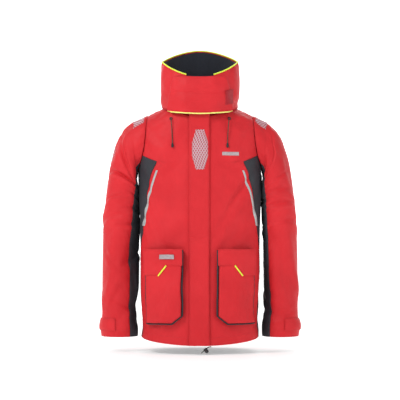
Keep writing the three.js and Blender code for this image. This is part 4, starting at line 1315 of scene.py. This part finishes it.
def flap_line(x_values, up_values):
    """Points on the flap's face, with its outward normals."""
    x_values, up_values = np.broadcast_arrays(np.asarray(x_values, float), np.asarray(up_values, float))
    points = []
    face = np.argsort(section[5:-5, 0]) + 5
    for x, up in zip(x_values, up_values):
        out = np.interp(x, section[face, 0], (section[:, 1] + flap_ripple(up))[face])
        points.append(on_closure(x, out, up))
    return np.array(points), np.broadcast_to(closure_out, (len(points), 3))


long_up = np.linspace(0.01, flap_top - 0.01, 400)
for x in (FLAP_FREE + 0.005, FLAP_SEWN - 0.003):
    stitches.setdefault(("storm_flap", "red"), []).append(flap_line(x, long_up))
across = np.linspace(FLAP_FREE + 0.008, FLAP_SEWN - 0.006, 60)
stitches[("storm_flap", "red")].append(flap_line(across, np.full(60, float(up_at(-0.068)))))
stitches[("storm_flap", "red")].append(flap_line(across, np.full(60, flap_top - 0.005)))

# The reflective patch: a long hexagon.
patch_top, patch_bottom = float(up_at(-0.076)), float(up_at(-0.210))
patch_middle = (patch_top + patch_bottom) / 2
half_height = (patch_top - patch_bottom) / 2
s_grid, t_grid = np.meshgrid(np.linspace(-1, 1, 40), np.linspace(-1, 1, 80))
PATCH_STRAIGHT, PATCH_WIDE, PATCH_NARROW = 0.022, 0.027, 0.014


def patch_half_width(from_middle):
    """Half the hexagon's width: even near the middle, then drawn in towards each end."""
    taper = (from_middle - PATCH_STRAIGHT) / (half_height - PATCH_STRAIGHT)
    return np.where(from_middle < PATCH_STRAIGHT, PATCH_WIDE, mix(PATCH_WIDE, PATCH_NARROW, taper))


half_width = patch_half_width(np.abs(t_grid) * half_height)
patch_x, patch_up = s_grid * half_width, patch_middle + t_grid * half_height
face_section = section[5:-5][::-1]
face_out_by = np.array([
    np.interp(row_x, face_section[:, 0], (section[:, 1] + flap_ripple(row_up[0]))[5:-5][::-1])
    for row_x, row_up in zip(patch_x, patch_up)
])
reach = np.minimum(1 - np.abs(s_grid), 1 - np.abs(t_grid)) * 0.02
lift = 0.0010 - 0.0005 * np.exp(-((reach / 0.0015) ** 2))
patch = slab("chest_reflector_film", on_closure(patch_x, face_out_by + lift, patch_up),
             on_closure(patch_x, face_out_by + 0.0002, patch_up))
finish_piece(patch, NET, "storm_flap", ["chest_reflector"])
for sign in (-1, 1):
    edge_t = np.linspace(-0.97, 0.97, 120)
    edge_x = sign * (patch_half_width(np.abs(edge_t) * half_height) - 0.002)
    points, normals = flap_line(edge_x, patch_middle + edge_t * half_height)
    stitches[("storm_flap", "red")].append((points + closure_out * 0.001, normals))

# ---- cargo pockets ----
POCKET_IN, POCKET_OUT = 0.058, WAIST_HALF - 0.033
POCKET_TOP, POCKET_BOTTOM = HEM_Z + 0.320, HEM_Z + 0.073
POCKET_CORNER, POCKET_DEPTH = 0.034, 0.022
FLAP_LIFT = POCKET_DEPTH + 2 * CLOTH + 0.002
SLANT_FROM, SLANT_TO = POCKET_IN + 0.051, POCKET_IN + 0.074
slant = lambda x, start, end, high_z, low_z: mix(high_z, low_z, np.clip((x - start) / (end - start), 0, 1))


def pocket_bottom(x):
    return slant(x, POCKET_IN, POCKET_IN + POCKET_CORNER, POCKET_BOTTOM + 0.8 * POCKET_CORNER, POCKET_BOTTOM)


def flap_bottom(x):
    return slant(x, SLANT_FROM, SLANT_TO, POCKET_TOP - 0.052, POCKET_TOP - 0.085)


def on_x(low_z, high_z, inset=0.0):
    def place(a, b):
        x = mix(POCKET_IN + inset, POCKET_OUT - inset / 2, a)
        return on_front(x, mix(high_z(x), low_z(x), b))

    return place


def pocket_puff(a, b):
    reach = np.minimum.reduce([a * 0.114, (1 - a) * 0.114, (1 - b) * 0.24])
    edge = -0.0052 * (1 - np.sqrt(np.clip(1 - (1 - np.clip(reach / 0.010, 0, 1)) ** 2, 0, 1)))
    puff = 0.0022 * np.sin(math.pi * a) * np.sin(math.pi * np.clip(b, 0, 1)) ** 0.7
    ripples = 0.0007 * np.sin(7 * b + 3 * a) + 0.0004 * np.sin(19 * b - 6 * a)
    soft = ripples * np.sin(math.pi * a)
    return edge + puff + soft


def flap_shape(a, b):
    reach = np.minimum.reduce([a * 0.114, (1 - a) * 0.114, (1 - b) * 0.075])
    edge = -0.0012 * np.exp(-((reach / 0.003) ** 2))
    return edge + 0.0011 * np.sin(math.pi * a) * np.sin(math.pi * b) + 0.0005 * np.sin(8 * a + 5 * b) * b


for side, word in SIDES:
    pocket = Panel(
        body, on_x(lambda x: pocket_bottom(x) + 0.003, lambda x: POCKET_TOP + 0 * x, 0.004),
        dense(60), dense(100),
        POCKET_DEPTH + CLOTH, side, pocket_puff,
    )
    pocket.pucker(["left", "right", "bottom"], 0.0005, 0.018, 0.012, seed=50 + side)
    cloth_piece(
        pocket, f"cargo_pocket_{word}_cloth", RED, "torso", [f"cargo_pocket_{word}"], 0.0018,
    )
    sew(pocket, ["left", "right", "bottom"], [0.0035], "torso")

    x_line = np.concatenate([
        np.full(30, POCKET_IN), np.linspace(POCKET_IN, POCKET_IN + POCKET_CORNER, 14)[1:],
        np.linspace(POCKET_IN + POCKET_CORNER, POCKET_OUT, 24)[1:], np.full(30, POCKET_OUT),
    ])
    foot = pocket_bottom(x_line)
    z_line = foot.copy()
    z_line[:30] = np.linspace(POCKET_TOP, foot[0], 30)
    z_line[-30:] = np.linspace(foot[-1], POCKET_TOP, 30)
    step = np.stack([np.gradient(x_line), np.gradient(z_line)], -1)
    out_of = np.stack([step[:, 1], -step[:, 0]], -1)
    out_of /= np.linalg.norm(out_of, axis=1, keepdims=True)
    out_of *= np.sign(out_of[5] @ np.array([-1, 0]))
    share = np.linspace(0, 1, 16)
    bulge = 0.0016 * np.abs(np.sin(2 * math.pi * share)) + 0.0012 * np.sin(math.pi * share)
    walls = []
    for inset in (0.0, 0.0016):
        away = bulge[:, None] - inset
        wall_v, wall_phi = on_front(x_line + out_of[:, 0] * away, z_line + out_of[:, 1] * away)
        wall_phi = mirrored_angle(wall_phi, side)
        lift = np.broadcast_to((0.0006 + share * (POCKET_DEPTH - 0.0044))[:, None], wall_v.shape)
        walls.append(body.at(wall_v, wall_phi, lift))
    gusset = slab(f"pocket_gusset_{word}_cloth", walls[0], walls[1])
    finish_piece(gusset, CHARCOAL, "torso", [f"pocket_gusset_{word}"])
    gusset_length = round(float(arc(walls[0], 1)[:, -1].max()), 3)

    cover = Panel(
        body, on_x(flap_bottom, lambda x: POCKET_TOP + 0.003 + 0 * x), dense(60), dense(40),
        FLAP_LIFT, side, flap_shape,
    )
    cloth_piece(
        cover, f"pocket_flap_{word}_cloth", RED, f"pocket_flap_{word}",
        [f"pocket_flap_{word}"], 0.0018,
    )
    sew(cover, ALL_EDGES, [0.0035], f"pocket_flap_{word}")
    t = np.linspace(-0.03, 1.03, 30)
    x = mix(SLANT_FROM, SLANT_TO, t)
    bind_v, bind_phi = on_front(x - 0.0006, flap_bottom(x) - 0.0004)
    bind_phi = mirrored_angle(bind_phi, side)
    bind_path = body.at(bind_v, bind_phi, np.full(30, FLAP_LIFT - 0.0002))
    bind = tube_mesh(f"flap_binding_{word}_tape", bind_path, 0.0024, 10)
    finish_piece(bind, NEON, f"pocket_flap_{word}", [f"flap_binding_{word}"])

    def welt_place(a, b):
        z = mix(-0.212, -0.399, b)
        half = ring_at(body_rows, on_front(FLAP_SEWN + 0 * z, z)[0])[..., 0]
        x = half * mix(0.68, 0.925, b) + 0.006 * np.sin(math.pi * b)
        return on_front(x + mix(-0.0033, 0.0033, a), z)

    crown = lambda a, b: -0.0009 * (2 * a - 1) ** 2
    welt = Panel(body, welt_place, dense(10), dense(80), 0.0016, side, crown)
    cloth_piece(
        welt, f"pocket_piping_{word}_film", SILVER, "torso", [f"pocket_piping_{word}"], 0.0010,
    )


def label(name, node, x, z, width, height, lift, side, look, rides, shape=None):
    place = lambda a, b: on_front(x + width * (a - 0.5), z + height * (0.5 - b))
    tag = Panel(body, place, dense(24), dense(10), lift + 0.0011, side, shape)
    tag.roll(ALL_EDGES, 0.0004)
    cloth_piece(tag, name, look, rides, [node], 0.0008)
    sew(tag, ALL_EDGES, [0.0012], rides, "grey")


label("chest_mark_film", "chest_mark", 0.103, -0.156, 0.056, 0.012, 0.0, 1, MARK, "torso")
label(
    "pocket_label_woven", "pocket_label_right", 0.106, POCKET_TOP - 0.023, 0.042, 0.015, FLAP_LIFT + 0.0024,
    -1, MARK, "pocket_flap_right", lambda a, b: flap_shape(mix(0.32, 0.65, a), mix(0.22, 0.44, b)),
)

# ---- cords and their fittings ----
CORD_RADIUS = 0.0015


def cord_curve(name, points, rides, replaces=()):
    """A cord's centreline as a curve with a round bevel."""
    curve = bpy.data.curves.new(name, "CURVE")
    curve.dimensions = "3D"
    line = smooth_path(points, 36)
    spline = curve.splines.new("POLY")
    spline.points.add(len(line) - 1)
    for point, co in zip(spline.points, line):
        point.co = (*co, 1)
    curve.bevel_depth = CORD_RADIUS
    curve.bevel_resolution = 4
    curve.use_fill_caps = True
    curve.materials.append(CORD)
    obj = bpy.data.objects.new(name, curve)
    bpy.context.scene.collection.objects.link(obj)
    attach(obj, rides)
    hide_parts(*replaces)
    return obj


def turned(name, profile, origin, axis, rides, look, slot, replaces=(), sides=28):
    """A body of revolution: radii at distances along an axis."""
    axis = np.asarray(axis, float) / np.linalg.norm(axis)
    guide = np.array([0, 1.0, 0]) if abs(axis[1]) < 0.9 else np.array([1.0, 0, 0])
    u = np.cross(axis, guide)
    u /= np.linalg.norm(u)
    w = np.cross(axis, u)
    angle = np.linspace(0, 2 * math.pi, sides, endpoint=False)
    ring = np.cos(angle)[:, None] * u + np.sin(angle)[:, None] * w
    rows = np.array([np.asarray(origin) + axis * d + ring * radius for radius, d in profile])
    mesh = bpy.data.meshes.new(name)
    mesh.from_pydata(rows.reshape(-1, 3).tolist(), [], tube_faces(len(rows), sides))
    obj = link_smooth(name, mesh)
    face_out(obj)
    return finish_piece(obj, look, rides, replaces)


hood_cord_line = [
    (0.0, -0.107, -0.038), (-0.001, -0.1105, -0.046), (-0.0025, -0.1115, -0.060), (-0.0035, -0.1125, -0.076),
    (-0.0045, -0.1135, -0.092), (-0.005, -0.1145, -0.106), (-0.0055, -0.115, -0.1205),
]
for side, word in SIDES:
    line = [(side * (0.098 + x), y, z) for x, y, z in hood_cord_line]
    tip = np.array(line[-1])
    end = turned(
        f"hood_cord_end_{word}_moulded",
        [
            (0.0012, 0.0), (0.0022, 0.0), (0.0029, 0.0009), (0.0034, 0.0030), (0.0038, 0.0070),
            (0.0040, 0.0110), (0.0038, 0.0130), (0.0031, 0.0149), (0.0018, 0.0155), (0.0004, 0.0156),
        ],
        tip, (0, 0, -1), "torso", BLACK, "cord_fitting", [f"hood_cord_end_{word}"],
    )
    eye_v, eye_phi = on_front(np.array(0.098), np.array(-0.038))
    eye_phi = mirrored_angle(eye_phi, side)
    seat, out = body.at(eye_v, eye_phi, 0.0022), body.normal(eye_v, eye_phi)
    u = np.cross(out, [0, 0, 1.0])
    u /= np.linalg.norm(u)
    w = np.cross(out, u)
    turn = np.linspace(0, 2 * math.pi, 40, endpoint=False)[:, None]
    circle = seat + 0.0042 * (np.cos(turn) * u + np.sin(turn) * w)
    eyelet = tube_mesh(f"cord_eyelet_{word}_ring", circle, 0.0012, 12, True)
    finish_piece(eyelet, BLACK, "torso", [f"cord_eyelet_{word}"])
    cord_curve(f"hood_cord_{word}_braid", line, "torso", [f"hood_cord_{word}"])

hem_line = [
    (0.038, -0.137, -0.802), (0.0325, -0.137, -0.8028), (0.027, -0.137, -0.8046), (0.0226, -0.137, -0.8082),
    (0.018, -0.137, -0.812), (0.0134, -0.137, -0.8158), (0.0088, -0.137, -0.8196), (0.004, -0.137, -0.824),
]
lock_at, lock_axis = np.array(hem_line[4]), np.array([0.643, 0, -0.766])
turned(
    "hem_cord_lock_body",
    [
        (0.0008, -0.004), (0.0046, -0.004), (0.0060, -0.0034), (0.0065, -0.0022), (0.0065, -0.0006),
        (0.0061, 0.0), (0.0065, 0.0006), (0.0065, 0.0086), (0.0061, 0.0097), (0.0053, 0.0100),
        (0.0050, 0.0096), (0.0050, 0.0086), (0.0006, 0.0084),
    ],
    lock_at, lock_axis, "torso", BLACK, "cord_fitting", ["hem_cord_lock"],
)
turned(
    "hem_cord_lock_button",
    [
        (0.0006, 0.0066), (0.0046, 0.0066), (0.0046, 0.0122), (0.0042, 0.0129), (0.0034, 0.0131),
        (0.0026, 0.0127), (0.0006, 0.0126),
    ],
    lock_at, lock_axis, "cord_lock_plunger", BLACK, "cord_fitting", ["hem_cord_lock_plunger"],
)
cord_curve("hem_cord_braid", hem_line, "torso", ["hem_cord"])

# ---- stitching ----
THREADS = {"red": (RED_THREAD, "shell_red"), "dark": (DARK_THREAD, "shell_charcoal"),
           "grey": (SILVER, "reflective"), "neon": (NEON, "neon_trim")}
for (rides, look), lines in stitches.items():
    material, slot = THREADS[look]
    stitch_rows(f"stitches_{rides}_{look}", lines, rides, material)

# ---- stage, light and camera ----
def plain_stage_look(name, colour, glow):
    n = Nodes(name)
    n.set(Base_Color=(*colour, 1), Roughness=0.9, Emission_Color=(1, 1, 1, 1), Emission_Strength=glow)
    return n.material


def stage_plane(name, corners, height, glow):
    mesh = bpy.data.meshes.new(name)
    mesh.from_pydata(corners, [], [(0, 1, 2, 3)])
    mesh.materials.append(plain_stage_look("studio_" + name, (0.9, 0.9, 0.9), glow))
    plane = bpy.data.objects.new(name, mesh)
    plane.location = (0, 0, height)
    bpy.context.scene.collection.objects.link(plane)
    return plane


floor_corners = [(-30, -30, 0), (30, -30, 0), (30, 30, 0), (-30, 30, 0)]
floor = stage_plane("floor", floor_corners, HEM_Z - 0.030, 0.35)
backdrop = stage_plane("backdrop", [(-14, 9, -9), (14, 9, -9), (14, 9, 9), (-14, 9, 9)], 0, 1.0)

world = bpy.data.worlds.new("studio")
world.use_nodes = True
world.node_tree.nodes["Background"].inputs["Color"].default_value = (1, 1, 1, 1)
world.node_tree.nodes["Background"].inputs["Strength"].default_value = 0.52
bpy.context.scene.world = world
bpy.context.scene.view_settings.view_transform = "Standard"


def area_light(name, place, size, power):
    data = bpy.data.lights.new(name, "AREA")
    data.shape = "SQUARE"
    data.size = size
    data.energy = power
    lamp = bpy.data.objects.new(name, data)
    lamp.location = place
    lamp.rotation_euler = (Vector((0, 0, -0.3)) - Vector(place)).to_track_quat("-Z", "Y").to_euler()
    bpy.context.scene.collection.objects.link(lamp)


area_light("key", (-1.7, -2.0, 1.6), 0.8, 46)
area_light("fill", (2.2, -2.0, 0.4), 1.6, 9)
area_light("back", (0.4, 2.4, 1.6), 1.4, 24)

camera_data = bpy.data.cameras.new("camera")
camera_data.sensor_width = 36
camera_data.lens = 131
camera = bpy.data.objects.new("camera", camera_data)
camera.location = (0, -5, -0.312)
camera.rotation_euler = (math.pi / 2, 0, 0)
bpy.context.scene.collection.objects.link(camera)
bpy.context.scene.camera = camera
